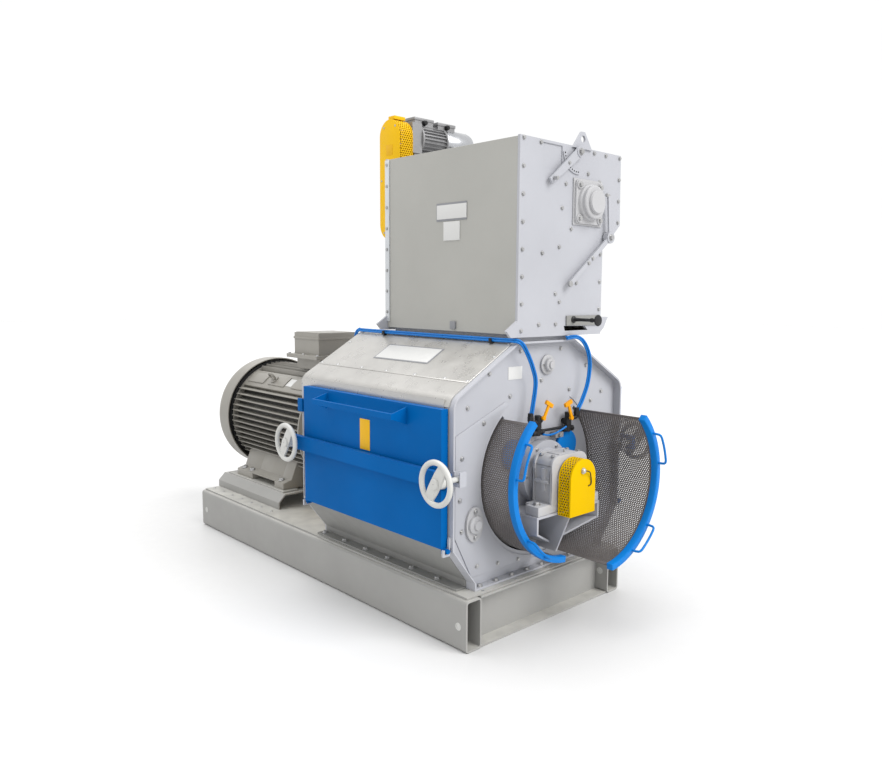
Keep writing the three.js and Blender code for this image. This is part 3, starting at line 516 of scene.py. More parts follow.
# ---- CAD nodes that stay, with their finish ----
def dress(name, finish, bevel=1.2):
    """Gives a CAD node its finish and, by modifiers alone, softened edges."""
    obj = NODES[name]
    mesh = obj.data
    mesh.materials.clear()
    mesh.materials.append(PAINT[finish])
    if "custom_normal" in mesh.attributes:
        mesh.attributes.remove(mesh.attributes["custom_normal"])
    mesh.shade_smooth()
    obj.modifiers.new("weld", "WELD").merge_threshold = 1e-5
    flat = obj.modifiers.new("flat", "DECIMATE")
    flat.decimate_type = "DISSOLVE"
    flat.angle_limit = math.radians(0.5)
    edge = obj.modifiers.new("edge", "BEVEL")
    edge.width = bevel * MM
    edge.segments = 2
    edge.limit_method = "ANGLE"
    edge.angle_limit = math.radians(30)
    edge.use_clamp_overlap = True
    obj.modifiers.new("normals", "WEIGHTED_NORMAL").keep_sharp = False


def both(*stems):
    """Names of the near and far nodes of each stem."""
    return [f"{stem}_{label}" for stem in stems for side, label in SIDES]


FINISHES = {
    "base": both("base_rail") + ["base_front_channel", "base_mid_channel", "base_rear_channel", "bed_plate",
                                 "motor_pedestal"],
    "housing": ["mill_front_plate", "mill_rear_plate", "top_deck",
                "feeder_front_plate", "feeder_back_plate", "gate_lever", "flap_lever"],
    "panel": both("feeder_side"),
    # Lower sides under the doors take the painted-shade grey.
    "shaded": both("lower_side"),
    "cover": both("shoulder_cover", "lid_cover"),
    "motor": ["motor_terminal_box", "worm_gearbox"],
    "alloy": ["gearmotor"],
    "yellow": ["coupling_guard"],
    "blue": both("door", "clamp_bar"),
    "casting": ["feeder_bearing"],
    "steel": ["motor_shaft", "rotor_shaft", "lower_sprocket", "upper_sprocket"],
    "dark_steel": ["rotor_drum", "feeder_roll"] + [f"hammer_row_{i}" for i in range(1, 5)],
    "orange": both("valve_handle"),
}


# ---- base and bed ----
def base_details():
    bolts = Piece()
    for side in (-1, 1):
        for i in range(6):
            bolts.bolt((88 + 157 * i, side * 418, FOOT_TOP), Z, 11)
        for i in range(7):
            bolts.screw((-1052 + 106 * i, side * 412, BED_TOP), Z, 8)
    for i in range(9):
        bolts.bolt((1040, -352 + 88 * i, FOOT_TOP), Z, 10)
    for i in range(5):
        bolts.screw((1068, -360 + 180 * i, BED_TOP), Z, 6)
    bolts.done("bed_bolts", "zinc")
    rings = Piece()
    for side in (-1, 1):
        for x in (-1040, 1050):
            for out, way in ((468, 1), (388, -1)):
                at = (x, side * out, 95)
                axis = (0, side * way, 0)
                rings.lathe([(10, -1), (15, -1), (15, 1.2), (14, 1.8), (11, 1.8), (10, 1.2)], at, axis, 28)
                rings.lathe([(0, -0.5), (9.6, -0.5), (9.6, 0.4), (0, 0.4)], at, axis, 24)
    rings.done("lifting_sockets", "white")
    # Dark domed dots: painted shade standing in for the drilled holes along the front channel's lip.
    dots = Piece()
    for i in range(5):
        dots.screw((1027, -320 + 160 * i, 168), X, 5)
    dots.done("channel_hole_shade_dots", "border")


# ---- mill housing ----
SLOPE = math.radians(30.66)
RIDGE_Y, RIDGE_Z = 168, 1136


def on_slope(y, lift):
    """Point of the near sloping cover at a given y, lifted off it, and the cover's normal."""
    normal = Vector((0, -math.sin(SLOPE), math.cos(SLOPE)))
    z = RIDGE_Z + (y + RIDGE_Y) * math.tan(SLOPE)
    return Vector((0, y, z)) + normal * lift, normal


def mirror_y(v):
    return Vector((v[0], -v[1], v[2]))


def cover_place(y, lift, side):
    """Matrix of a spot on the near cover, side 1, or the far one, side -1."""
    at = on_slope(y, lift)[0]
    where = at if side > 0 else mirror_y(at)
    return Matrix.Translation(where) @ Matrix.Rotation(SLOPE * side, 4, "X")


def mirrored(spots):
    """Each (y, z) spot on both sides of the middle."""
    return [(side * y, z) for y, z in spots for side in (-1, 1)]


def cover_details():
    bolts = Piece()
    spots = [(x, -402) for x in (61, 184, 363, 535, 717, 895, 1020)]
    spots += [(70, -256), (1020, -265), (70, -185), (1020, -185)]
    for x, y in spots:
        at, normal = on_slope(y, 4.3)
        at.x = x
        bolts.screw(at, normal, 7.5)
        bolts.screw(mirror_y(at), mirror_y(normal), 7.5)
    bolts.done("cover_screws", "zinc")
    seam = Piece()
    for side in (1, -1):
        seam.box((46, -5, 0), (1030, 5, 1.6), 0.5, cover_place(-408, 4.4, side))
    seam.done("cover_joint_strips", "cover")
    for name, inset, lift, material in (("plate_rim", 0, 1.6, "border"), ("plate_face", 7, 2.4, "label")):
        plate = Piece()
        for side in (1, -1):
            low, high = (361 + inset, -54 + inset, 0), (719 - inset, 54 - inset, lift)
            plate.box(low, high, 0.5, cover_place(-293, 4.3, side))
        plate.done("blank_name_" + name, material)


def panel_outline():
    """Cover panel round the screen opening, open at the top."""
    outside = [(330, 815), (462, 740), (462, 420), (376, 250), (-376, 250), (-462, 420), (-462, 801),
               (-203, 906)]
    return arc((0, AXIS_Z), 343, 122.5, 417.5, 72) + outside


def front_plate_details():
    x = PLATE_X
    panel = Piece()
    panel.plate(panel_outline(), [], "x", x + 0.2, x + 4)
    panel.done("front_cover_panel", "housing")
    bolts = Piece()
    on_panel = [(-320, 836), (320, 796)]
    on_panel += mirrored([(430, 716), (440, 560), (430, 440), (350, 290), (236, 274), (120, 262)])
    on_plate = [(-176, 925), (5, 975), (182, 925), (328, 865)]
    on_plate += mirrored([(400, 900), (120, 1098), (290, 1020)])
    for spots, lift in ((on_panel, 4), (on_plate, 0.2)):
        for y, z in spots:
            bolts.bolt((x + lift, y, z), X, 7.5)
    bolts.done("front_plate_bolts", "zinc")
    discs = Piece()
    for y in (-160, 160):
        discs.lathe([(0, 0.2), (60, 0.2), (62, 3), (62, 12), (60, 14), (20, 15), (0, 15)], (x, y, 694), X, 56)
    discs.done("blue_port_covers", "bright_blue")
    castings = Piece()
    boss = [(0, 0.2), (39, 0.2), (40, 3), (40, 9), (37, 11), (27, 12), (26, 24), (23, 27), (15, 27),
            (14, 34), (0, 34)]
    castings.lathe(boss, (x, 35, 1037), X, 40)
    for y in (-370, 370):
        oval = [(y + a * 0.66, 458 + b * 1.02) for a, b in ring(0, 0, 66, 36)]
        castings.prism(oval, "x", x + 4, x + 15, 1.5)
        dome = [(0, 14), (36, 14), (34, 24), (30, 27), (20, 28), (17, 36), (0, 36)]
        castings.lathe(dome, (x, y, 458), X, 36)
    castings.done("small_flange_bearings", "casting")
    hexes = Piece()
    for y in (-370, 370):
        for dz in (-50, 50):
            hexes.bolt((x + 15, y, 458 + dz), X, 8)
    for dy in (-30, 30):
        hexes.bolt((x + 10, 35 + dy, 1037), X, 5)
    hexes.done("flange_bearing_bolts", "zinc")
    label = Piece()
    label.box((x + 0.2, -188, 989), (x + 1.6, -110, 1039), 0.4)
    label.done("blank_plate_front", "label")


def rear_plate_details():
    bolts = Piece()
    x = corners("mill_rear_plate")[0].x
    spots = [(120, 1098), (290, 1020), (430, 860), (450, 640), (450, 440), (330, 270), (200, 920)]
    for y, z in mirrored(spots):
        bolts.bolt((x - 0.2, y, z), -X, 9)
    bolts.done("rear_plate_bolts", "zinc")


# ---- doors and clamp wheels ----
def handwheel_shape(piece, x, side):
    """Rounded rim, slanting two-arm web and hub, as its CAD solid places them."""
    y = side * WHEEL_Y
    rim = [(75.6 + a, b * 0.95) for a, b in ring(0, 0, 10.4, 16)]
    piece.lathe(rim, (x, y, WHEEL_Z), Y, 64)
    arm = turned_about((x, y, WHEEL_Z), -58, "Y")
    outline = [(-70, -20), (-30, -24), (30, -24), (70, -20), (70, 20), (30, 24), (-30, 24), (-70, 20)]
    low, high = (-4, 6) if side < 0 else (-6, 4)
    piece.prism(outline, "y", low, high, 2.0, arm)
    hub = [(0, 12), (17, 12), (20, 9), (22, 0), (22, -30), (0, -30)]
    piece.lathe(hub, (x, y, WHEEL_Z), (0, side, 0), 32)


def wheels():
    for side, label in SIDES:
        for end in ("rear", "front"):
            x = corners(f"wheel_{label}_{end}")[0].x + WHEEL_R
            wheel = Piece()
            handwheel_shape(wheel, x, side)
            wheel.rod(9.5, (x, side * 568, WHEEL_Z), (x, side * 474, WHEEL_Z), 20)
            body = f"{label}_{end}_wheel"
            wheel.done(f"handwheel_{label}_{end}", "white", body=body, replaces=[f"wheel_{label}_{end}"])
            nut = Piece()
            nut.bolt((x, side * 611.5, WHEEL_Z), (0, side, 0), 1.6)
            nut.done(f"wheel_centre_{label}_{end}", "border", body=body)


def door_details():
    for side, label in SIDES:
        body = f"{label}_door"
        seal = Piece()
        y0, y1 = sorted((side * 506.8, side * 503.0))
        for x0, z0, x1, z1 in ((130, 416, 1018, 428), (130, 884, 1018, 896), (130, 428, 142, 884),
                               (1006, 428, 1018, 884)):
            seal.box((x0, y0, z0), (x1, y1, z1), 1.0)
        seal.done(f"door_seal_{label}", "rubber", body=body)
        sill = Piece()
        y0, y1 = sorted((side * 505.4, side * 500.2))
        sill.box((57, y0, 899), (1005, y1, 942), 0.6)
        sill.done(f"door_head_strip_{label}", "cover")
        washers = Piece()
        for x in (69, 1072):
            profile = [(10.2, 0), (24, 0), (24, 2.4), (22, 3), (11, 3), (10.2, 2.4)]
            washers.lathe(profile, (x, side * 566, WHEEL_Z), (0, side, 0), 32)
        washers.done(f"clamp_washers_{label}", "zinc", body=body)
        weld = Piece()
        for x in (307, 829):
            weld.tube([(x, side * 538.4, 833), (x, side * 538.4, 896)], 2.2, 8)
        weld.done(f"handle_weld_beads_{label}", "blue", body=body)
    catch = Piece()
    catch.box((24, -513, 785), (62, -503, 844), 2)
    catch.box((24, 503, 785), (62, 513, 844), 2)
    catch.done("door_stop_tabs", "blue")
    plate = Piece()
    plate.box((538, -539.4, 696), (604, -537.8, 819), 0.5)
    plate.done("blank_plate_door", "label_yellow", body="near_door")


# ---- bearing and its guard ----
def bearing_block(label, x_end, side, replaced):
    """Square-shouldered housing on two short feet; x_end is its outer face, side the way it faces."""
    def span(near, far):
        return sorted((x_end - side * near, x_end - side * far))

    foot = BLOCK_FOOT
    rise = [(-100, foot + 30), (-100, 662)] + arc((-62, 660), 38, 180, 90, 6)
    rise += arc((62, 660), 38, 90, 0, 6) + [(100, 662), (100, foot + 30)]
    grown = [(y * 1.07, AXIS_Z + (z - AXIS_Z) * 1.03) for y, z in rise]
    casting = Piece()
    hole = ring(0, AXIS_Z, 47, 40)
    for near, far, outline in ((12, 100, rise), (4, 16, grown), (92, 102, grown)):
        low, high = span(near, far)
        casting.plate(outline, [hole], "x", low, high, 2)
    low, high = span(5, 100)
    casting.box((low, -150, foot + 0.1), (high, 150, foot + 34), 4)
    low, high = span(1, 68)
    for way in (-1, 1):
        casting.box((low, way * 152 - 33, foot), (high, way * 152 + 33, foot + 38), 5)
        start, end = span(40, 62)
        casting.box((start, way * 101 - 6, 560), (end, way * 101 + 6, 650), 3)
        start, end = span(20, 90)
        casting.box((start, way * 103 - 9, AXIS_Z - 12), (end, way * 103 + 9, AXIS_Z), 3)
    low, high = span(20, 88)
    casting.box((low, -46, 694), (high, 46, 702), 4)
    cover = [(47, -2), (72, -2), (72, 6), (66, 9), (52, 9), (47, 8)]
    casting.lathe(cover, (x_end - side * 4, 0, AXIS_Z), (side, 0, 0), 48)
    casting.done(f"{label}_bearing_block", "casting", replaces=replaced)
    bolts = Piece()
    mid = x_end - side * 35
    for way in (-1, 1):
        bolts.bolt((mid, way * 158, foot + 38), Z, 13)
        for near in (26, 84):
            bolts.bolt((x_end - side * near, way * 78, 696), Z, 7)
    bolts.rod(4, (mid, 0, 700), (mid, 0, 714), 12)
    bolts.done(f"{label}_bearing_bolts", "zinc")


def bracket_plates(piece, x_wall, side):
    """Bracket of welded plates, open at its outer end, with a rib down its middle."""
    def at(d, y, z):
        return Vector((x_wall + side * d, y, z))

    def slab(face, depth):
        """Plate from a flat quad, thickened along depth."""
        bm = solid_between(face, [p + Vector(depth) for p in face])
        rounded(bm, bm.edges[:], 1.2)
        piece.take(bm)

    reach, half = BRACKET_REACH, BRACKET_HALF
    low, high = sorted((x_wall, x_wall + side * reach))
    piece.box((low, -half, 470), (high, half, 480), 1.5)
    for way in (-1, 1):
        y = way * half
        slab([at(0, y, 386), at(reach, y, 410), at(reach, y, 472), at(0, y, 472)], (0, -way * 9, 0))
        y = way * (half - 1)
        slab([at(0, y, 386), at(reach, y, 410), at(67, 0, 318), at(0, 0, 318)], (0, 0, 9))
    rib = [(0, 472), (160, 472), (168, 470), (168, 448), (101, 292), (0, 292)]
    piece.prism([(x_wall + side * d, z) for d, z in rib], "y", -5, 5, 1.2)


def bearing_details():
    front = corners("front_bearing")[1].x
    rear = corners("rear_bearing")[0].x
    bearing_block("front", front, 1, ["front_bearing"])
    bearing_block("rear", rear, -1, ["rear_bearing"])
    wall = corners("bearing_bracket")[0].x
    bracket = Piece()
    bracket_plates(bracket, wall, 1)
    bracket.done("front_bearing_bracket", "housing", replaces=["bearing_bracket"])
    back = Piece()
    bracket_plates(back, corners("mill_rear_plate")[0].x - 0.3, -1)
    back.done("rear_bearing_bracket", "housing")
    collar = Piece()
    profile = [(61, -1), (100, -1), (100, 6), (92, 10), (84, 11), (80, 18), (61, 18)]
    collar.lathe(profile, (1058, 0, AXIS_Z), X, 64)
    collar.done("shaft_seal_housing", "housing")
    bolts = Piece()
    for i in range(6):
        t = math.radians(60 * i + 30)
        bolts.bolt((1058, 116 * math.sin(t), AXIS_Z + 116 * math.cos(t)), X, 6)
    bolts.done("seal_housing_bolts", "zinc")


def arch_point(radius, foot, distance):
    """Point at a distance along an arch that starts at the foot of its -Y leg."""
    centre = GUARD_HIGH.z - GUARD_R
    leg = centre - foot
    bend = math.pi * radius
    if distance < leg:
        return -radius, foot + distance, (-1, 0)
    if distance < leg + bend:
        t = math.pi - (distance - leg) / radius
        return radius * math.cos(t), centre + radius * math.sin(t), (math.cos(t), math.sin(t))
    return radius, centre - (distance - leg - bend), (1, 0)


def bearing_guard():
    foot = GUARD_LOW.z
    radius = GUARD_R - 1.7
    band = Piece()
    length = 2 * (GUARD_HIGH.z - GUARD_R - foot) + math.pi * radius

    def place(u, v, w):
        y, z, normal = arch_point(radius, foot, min(max(v, 0), length))
        return (GUARD_LOW.x + 2 + u, y + normal[0] * w, z + normal[1] * w)

    depth = GUARD_HIGH.x - GUARD_LOW.x
    pitch = (depth - 8) / 4.5
    band.perforated(place, depth - 6, length, pitch, pitch * 0.34, 2.6, sides=12)
    path = [arch_point(radius, foot, length * i / 60) for i in range(61)]
    strip = [(y - n[0] * 1.6, z - n[1] * 1.6) for y, z, n in path]
    strip += [(y + n[0] * 1.6, z + n[1] * 1.6) for y, z, n in reversed(path)]
    for low, high in ((0, 6), (depth - 8, depth - 2)):
        band.prism(strip, "x", GUARD_LOW.x + low, GUARD_LOW.x + high)
    outline = [(-GUARD_R, foot), (GUARD_R, foot)] + arc((0, GUARD_HIGH.z - GUARD_R), GUARD_R, 0, 180, 28)
    band.prism(outline, "x", GUARD_HIGH.x - 3, GUARD_HIGH.x, 0.8)
    band.box((GUARD_LOW.x, -GUARD_R, foot), (GUARD_HIGH.x - 2, GUARD_R, foot + 2.6), 0.6)
    band.done("perforated_bearing_guard", "yellow", replaces=["bearing_guard"])
    sensor = Piece()
    at = (GUARD_HIGH.x - 6, -5, 645)
    sensor.lathe([(0, 0), (11, 0), (11, 6), (9, 6), (9, 16), (6, 18), (0, 18)], at, X, 24)
    sensor.lathe([(0, 6), (13, 6), (13, 10), (0, 10)], at, X, 6)
    sensor.done("bearing_sensor", "steel")
    wire = Piece()
    x = GUARD_HIGH.x + 9
    points = [(x, -5, 645), (x + 3, 12, 643), (x + 1, 28, 634), (x - 4, 40, 616), (x - 6, 46, 596),
              (x - 7, 44, 584), (x - 7, 30, 580)]
    wire.tube(smooth(points, 6), 2.2, 10)
    wire.done("sensor_wire", "rubber")


def smooth(points, steps):
    """Catmull-Rom points through a list of points."""
    points = [Vector(p) for p in points]
    ends = [points[0] * 2 - points[1], *points, points[-1] * 2 - points[-2]]
    out = []
    for i in range(1, len(ends) - 2):
        a, b, c, d = ends[i - 1:i + 3]
        for k in range(steps):
            t = k / steps
            out.append(0.5 * ((2 * b) + (c - a) * t + (2 * a - 5 * b + 4 * c - d) * t * t
                              + (3 * b - a - 3 * c + d) * t ** 3))
    return out + [points[-1]]


# ---- screens ----
def screens():
    for side, label in SIDES:
        low, high = corners(f"screen_{label}")
        front = high.x - 40
        back = low.x
        start, end = math.radians(43), math.radians(174)
        length = SCREEN_R * (end - start)

        def place(u, v, w, x0=back, s=side):
            t = start + v / SCREEN_R
            r = SCREEN_R + w
            return (x0 + u, s * r * math.sin(t), AXIS_Z + r * math.cos(t))

        sheet = Piece()
        sheet.perforated(place, front - back - 6, length, 9.4, 2.7, 2.2)
        for v0, v1 in ((-1, 12), (length - 14, length)):
            edge = [place(0, v, w) for v, w in ((v0, -1.6), (v1, -1.6), (v1, 1.6), (v0, 1.6))]
            sheet.prism([(p[1], p[2]) for p in edge], "x", back, front - 4, 0.3)
        count = 48
        bands = [place(0, length * i / count, w) for w in (-1.7, 1.7) for i in range(count + 1)]
        outline = [(p[1], p[2]) for p in bands[:count + 1] + bands[:count:-1]]
        sheet.prism(outline, "x", back, back + 16, 0.0)
        sheet.prism(outline, "x", front - 42, front - 26, 0.0)
        sheet.done(f"punched_screen_{label}", "screen", body=f"{label}_screen", replaces=[f"screen_{label}"])
        rim = Piece()
        angles = [math.radians(42 + 133 * i / 64) for i in range(65)]

        def sector(r0, r1, s=side):
            inner = [(s * r0 * math.sin(t), AXIS_Z + r0 * math.cos(t)) for t in angles]
            outer = [(s * r1 * math.sin(t), AXIS_Z + r1 * math.cos(t)) for t in angles]
            return inner + outer[::-1]

        rim.prism(sector(SCREEN_R - 11, SCREEN_R + 13), "x", front - 28, front, 2.5)
        rim.prism(sector(SCREEN_R - 12, SCREEN_R - 8), "x", front - 28, front - 2, 0.8)
        for a0, a1 in ((58, 82), (128, 151)):
            rim.tube(pull_handle(a0, a1, front, side), 4.8, 14)
        rim.done(f"screen_rim_{label}", "bright_blue", body=f"{label}_screen")


def pull_handle(a0, a1, front, side):
    """Loop of round bar that stands off the rim between two angles."""
    rise = [(0, -2), (0, 14), (0.3, 27), (1.2, 33), (2.8, 35)]
    path = [(a0 + a, stand) for a, stand in rise]
    path += [(a0 + 2.8 + (a1 - a0 - 5.6) * i / 6, 35) for i in range(1, 6)]
    path += [(a1 - a, stand) for a, stand in reversed(rise)]
    out = []
    for angle, stand in path:
        t = math.radians(angle)
        out.append((front + stand, side * SCREEN_R * math.sin(t), AXIS_Z + SCREEN_R * math.cos(t)))
    return out


# ---- feeder ----
def feeder_details():
    bolts = Piece()
    x = FEED_X
    rows = [(-160, 1178 + 102.3 * i) for i in range(8)] + [(436, 1624 + 89 * i) for i in range(4)]
    rows += [(320, 1258 + 114 * i) for i in range(3)] + [(-65, 1890), (262, 1890), (340, 1890)]
    field = [(66, 1656), (125, 1578), (53, 1504), (-47, 1476), (87, 1751), (225, 1804), (300, 1779),
             (35, 1320), (61, 1288), (165, 1365), (-60, 1200), (40, 1200)]
    for y, z in rows + field:
        bolts.bolt((x + 0.2, y, z), X, 7)
    back = corners("feeder_back_plate")[0].x
    for y, z in rows:
        bolts.bolt((back - 0.2, y, z), -X, 7)
    for i in range(8):
        bolts.bolt((256, -185, 1232 + 92 * i), -Y, 6)
    bolts.done("feeder_bolts", "zinc")
    strip = Piece()
    strip.box((242, -185, 1190), (270, FEED_SIDE, 1896), 0.8)
    strip.done("feeder_corner_strip", "galvanised")
    plates = Piece()
    plates.box((592, -183.4, 1619), (771, FEED_SIDE, 1676), 0.5)
    plates.box((633, -183, 1532), (731, FEED_SIDE, 1608), 0.5)
    plates.done("blank_plates_feeder", "label")
    backing = Piece()
    backing.box((588, -182, 1611), (771, FEED_SIDE, 1684), 0.4)
    backing.box((680, -188, 1172), (711, FEED_SIDE, 1204), 1.0)
    backing.done("feeder_plate_backings", "border")


def feeder_bearing_details():
    x = FEED_X
    y, z = ROLL_AT.y, ROLL_AT.z
    casting = Piece()
    casting.box((x + 0.2, y - 92, z - 92), (x + 6, y + 92, z + 92), 1.5)
    boss = [(0, 15), (74, 15), (72, 24), (66, 30), (66, 44), (60, 48), (46, 48), (46, 56), (42, 60),
            (26, 60), (24, 57), (0, 57)]
    casting.lathe(boss, (x, y, z), X, 48)
    spots = [(y + dy, z + dz) for dy in (-66, 66) for dz in (-66, 66)]
    for spot in spots:
        casting.rod(17, (x + 12, *spot), (x + 20, *spot), 24)
    casting.done("roll_bearing_housing", "casting")
    bolts = Piece()
    for spot in spots:
        bolts.bolt((x + 20, *spot), X, 9)
    bolts.rod(3.5, (x + 30, y + 30, z + 60), (x + 42, y + 34, z + 72), 10)
    bolts.done("roll_bearing_bolts", "zinc")


def lever_details():
    y, z = GATE_AT.y, GATE_AT.z
    gate = Piece()
    gate.bolt((1078, y, z), X, 11)
    gate.bolt((1075, y - 68, z - 51), X, 6)
    gate.rod(7, (1075, y - 158, z - 119), (1096, y - 158, z - 119), 18)
    gate.done("gate_lever_bolts", "zinc", body="feed_gate")
    # Black domed dots: painted shade standing in for the holes round the gate lever's quadrant.
    holes = Piece()
    for i in range(10):
        t = math.radians(188 + 9.6 * i)
        holes.screw((FEED_X + 4.9, y + 77 * math.cos(t), z + 77 * math.sin(t)), X, 3.4)
    holes.done("quadrant_hole_shade_dots", "black")
    y, z = FLAP_AT.y, FLAP_AT.z
    flap = Piece()
    flap.bolt((1086, y, z), X, 11)
    reach, drop = 252, 196
    for k in (0.46, 0.56):
        flap.bolt((1082, y - reach * k, z - drop * k), X, 7)
    flap.rod(5, (1078, y - 34, z + 172), (1078, y - 6, z + 172), 14)
    flap.rod(8, (1078, y - 30, z + 172), (1078, y - 22, z + 172), 6)
    flap.rod(12, (1074, y - reach, z - drop), (1084, y - reach, z - drop), 20)
    flap.done("flap_lever_bolts", "zinc", body="trap_flap")
    drawer = Piece()
    low, high = corners("trap_drawer")
    drawer.box((1055.3, 104, 1192.5), (1062, 318, 1233), 1)
    drawer.box((low.x, 114, 1197), (1056, 118, 1226), 0.5)
    drawer.box((low.x, 306, 1197), (1056, 310, 1226), 0.5)
    drawer.box((low.x, 114, 1197), (1056, 310, 1201), 0.5)
    drawer.box((low.x, 114, 1197), (low.x + 4, 310, 1226), 0.5)
    # The tray takes the painted-shade grey, standing in for the shade in the drawer's opening.
    drawer.done("trap_drawer_tray", "shaded", body="drawer", replaces=["trap_drawer"])
    grip = Piece()
    end = high.x
    stem = [(0, 0), (14, 0), (14, 5), (8, 8), (6.5, 40), (6.5, 86), (9, 92), (9, 100), (6.5, 104),
            (6.5, end - 1070), (0, end - 1070)]
    grip.lathe(stem, (1061, 145, 1217), X, 28)
    knob = [(0, 0), (18, 0), (22, 2), (23, 5), (21, 8), (12, 10), (0, 10)]
    grip.lathe(knob, (end - 10, 145, 1217), X, 40)
    grip.done("trap_drawer_grip", "black", body="drawer")


# ---- feeder drive ----
def stadium(radius, count=24):
    lower = arc((DRIVE_AT.x, WORM_AT.z), radius, 180, 360, count)
    upper = arc((DRIVE_AT.x, DRIVE_AT.z), radius, 0, 180, count)
    return lower + upper


def chain_case():
    low, high = corners("chain_guard")
    y0, y1 = low.y, high.y
    case = Piece()
    holes = [ring(DRIVE_AT.x, z, 22, 24) for z in (WORM_AT.z, DRIVE_AT.z)]
    case.plate(stadium(CASE_R), [], "y", y0, y0 + 2.4)
    case.plate(stadium(CASE_R), holes, "y", y1 - 2.4, y1)
    span = DRIVE_AT.z - WORM_AT.z
    radius = CASE_R - 1
    bend = math.pi * radius
    total = bend + span

    def place(u, v, w):
        """Down the +X side: half of the top arc, the straight run, half of the bottom arc."""
        quarter = bend / 2
        y = y0 + 2 + u
        if v < quarter:
            t = math.pi / 2 - v / radius
            centre = DRIVE_AT.z
        elif v < quarter + span:
            return (DRIVE_AT.x + radius + w, y, DRIVE_AT.z - (v - quarter))
        else:
            t = -(v - quarter - span) / radius
            centre = WORM_AT.z
        return (DRIVE_AT.x + (radius + w) * math.cos(t), y, centre + (radius + w) * math.sin(t))

    depth = y1 - y0
    pitch = (depth - 4) / 6.5

    def back(r):
        """Down the -X side of the case."""
        lower = arc((DRIVE_AT.x, WORM_AT.z), r, 180, 270, 12)
        return arc((DRIVE_AT.x, DRIVE_AT.z), r, 90, 180, 12) + lower

    case.perforated(place, depth - 4, total, pitch, pitch * 0.33, 2.2, sides=12)
    case.prism(back(CASE_R) + back(CASE_R - 2.4)[::-1], "y", y0 + 1, y1 - 1, 0.0)
    for y in (y0 + 1.2, y1 - 1.2):
        edge = [(a, y, b) for a, b in stadium(72.2, 28)]
        case.tube(edge, 1.4, 8, closed=True)
    top = high.z
    case.box((DRIVE_AT.x - 16, y0 + 6, top - 16), (DRIVE_AT.x + 30, y1 - 10, top), 2)
    case.done("chain_case", "deep_yellow", replaces=["chain_guard"])
    label = Piece()
    x, z = DRIVE_AT.x, DRIVE_AT.z
    label.prism([(x - 24, z - 86), (x + 24, z - 86), (x + 24, z - 40), (x - 24, z - 40)], "y", y0 - 0.9,
                y0 + 0.1, 0.3)
    label.done("blank_plate_chain_case", "label_yellow")
    bolts = Piece()
    middle = (WORM_AT.z + DRIVE_AT.z) / 2
    for z, reach in ((WORM_AT.z - 40, 41.6), (middle, 59.8), (DRIVE_AT.z + 40, 41.6)):
        for dx in (-reach, reach):
            bolts.screw((x + dx, y0, z), -Y, 5)
    bolts.done("chain_case_screws", "zinc")


def gearmotor_details():
    cx, cz = DRIVE_AT.x, DRIVE_AT.z
    low, high = corners("gearmotor")
    fins = Piece()
    for i in range(28):
        fins.box((-1.6, 48, 62), (1.6, 186, 76), 0.5, turned_about((cx, 0, cz), 360 / 28 * i, "Y"))
    for y in (40, 188):
        fins.lathe([(60, 0), (76, 0), (78, 2), (78, 8), (76, 10), (60, 10)], (cx, y, cz), Y, 40)
    fins.box((cx - 55, 8, cz + 83), (cx + 50, 126, cz + 95.8), 2)
    fins.box((cx - 48, 152, cz + 79), (cx + 46, 266, cz + 93.5), 2)
    fins.done("gearmotor_fins", "alloy")
    cowl = Piece()
    end = high.y
    profile = [(60, 198), (72.5, 198), (73.5, 200), (73.5, end - 34), (70, end - 20), (60, end - 8),
               (44, end - 2), (0, end - 0.5), (0, end - 3), (60, end - 14)]
    cowl.lathe(profile, (cx, 0, cz), Y, 48)
    cowl.done("gearmotor_cowl", "chrome")
    glands = Piece()
    for y, x in ((66, cx + 47), (208, cx + 43)):
        glands.rod(13, (x, y, cz + 74), (x + 9, y, cz + 74), 6)
        glands.rod(10, (x + 8, y, cz + 74), (x + 18, y, cz + 74), 20)
    glands.done("cable_glands", "black")
    bolts = Piece()
    for x in (cx - 38, cx + 38):
        for y in (160, 256):
            bolts.screw((x, y, cz + 93.5), Z, 3.5)
    for dx in (-52, 52):
        for dy in (10, 26):
            bolts.bolt((cx + dx, dy, 1910), Z, 6)
    bolts.done("gearmotor_screws", "zinc")


# ---- main motor ----
def motor_cowl():
    x0, x1 = COWL_LOW.x, COWL_HIGH.x
    cowl = Piece()
    shell = [(232, 0), (240, 0), (270, 3), (296, 10), (308, 20), (318, 36), (321, 48), (322, 60), (322, 148),
             (320, 149), (316, 148), (316, 62), (312, 39), (292, 16), (240, 6), (232, 6)]
    cowl.lathe(shell, (x0, 0, AXIS_Z), X, 96)

    def place(u, v, w):
        return (x0 + 3 + w, u - 240, AXIS_Z + v - 240)

    def inside(u, v):
        return 52 < math.hypot(u - 240, v - 240) < 229

    cowl.perforated(place, 480, 480, 20, 6.6, 3, keep=inside)
    cowl.lathe([(0, 0), (58, 0), (62, 1.5), (62, 5), (0, 5)], (x0, 0, AXIS_Z), X, 40)
    cowl.lathe([(226, 0.4), (240, 0.4), (240, 5.6), (226, 5.6)], (x0, 0, AXIS_Z), X, 72)
    cowl.done("fan_cowl", "motor", replaces=["motor_fan_cowl"])
    # Black ring: painted shade in the gap between the fan cowl and the finned frame.
    gap = Piece()
    gap.lathe([(262, 0), (302, 0), (306, 4), (306, 12), (262, 12)], (x1 - 14, 0, AXIS_Z), X, 72)
    gap.done("fan_gap_shade_ring", "black")


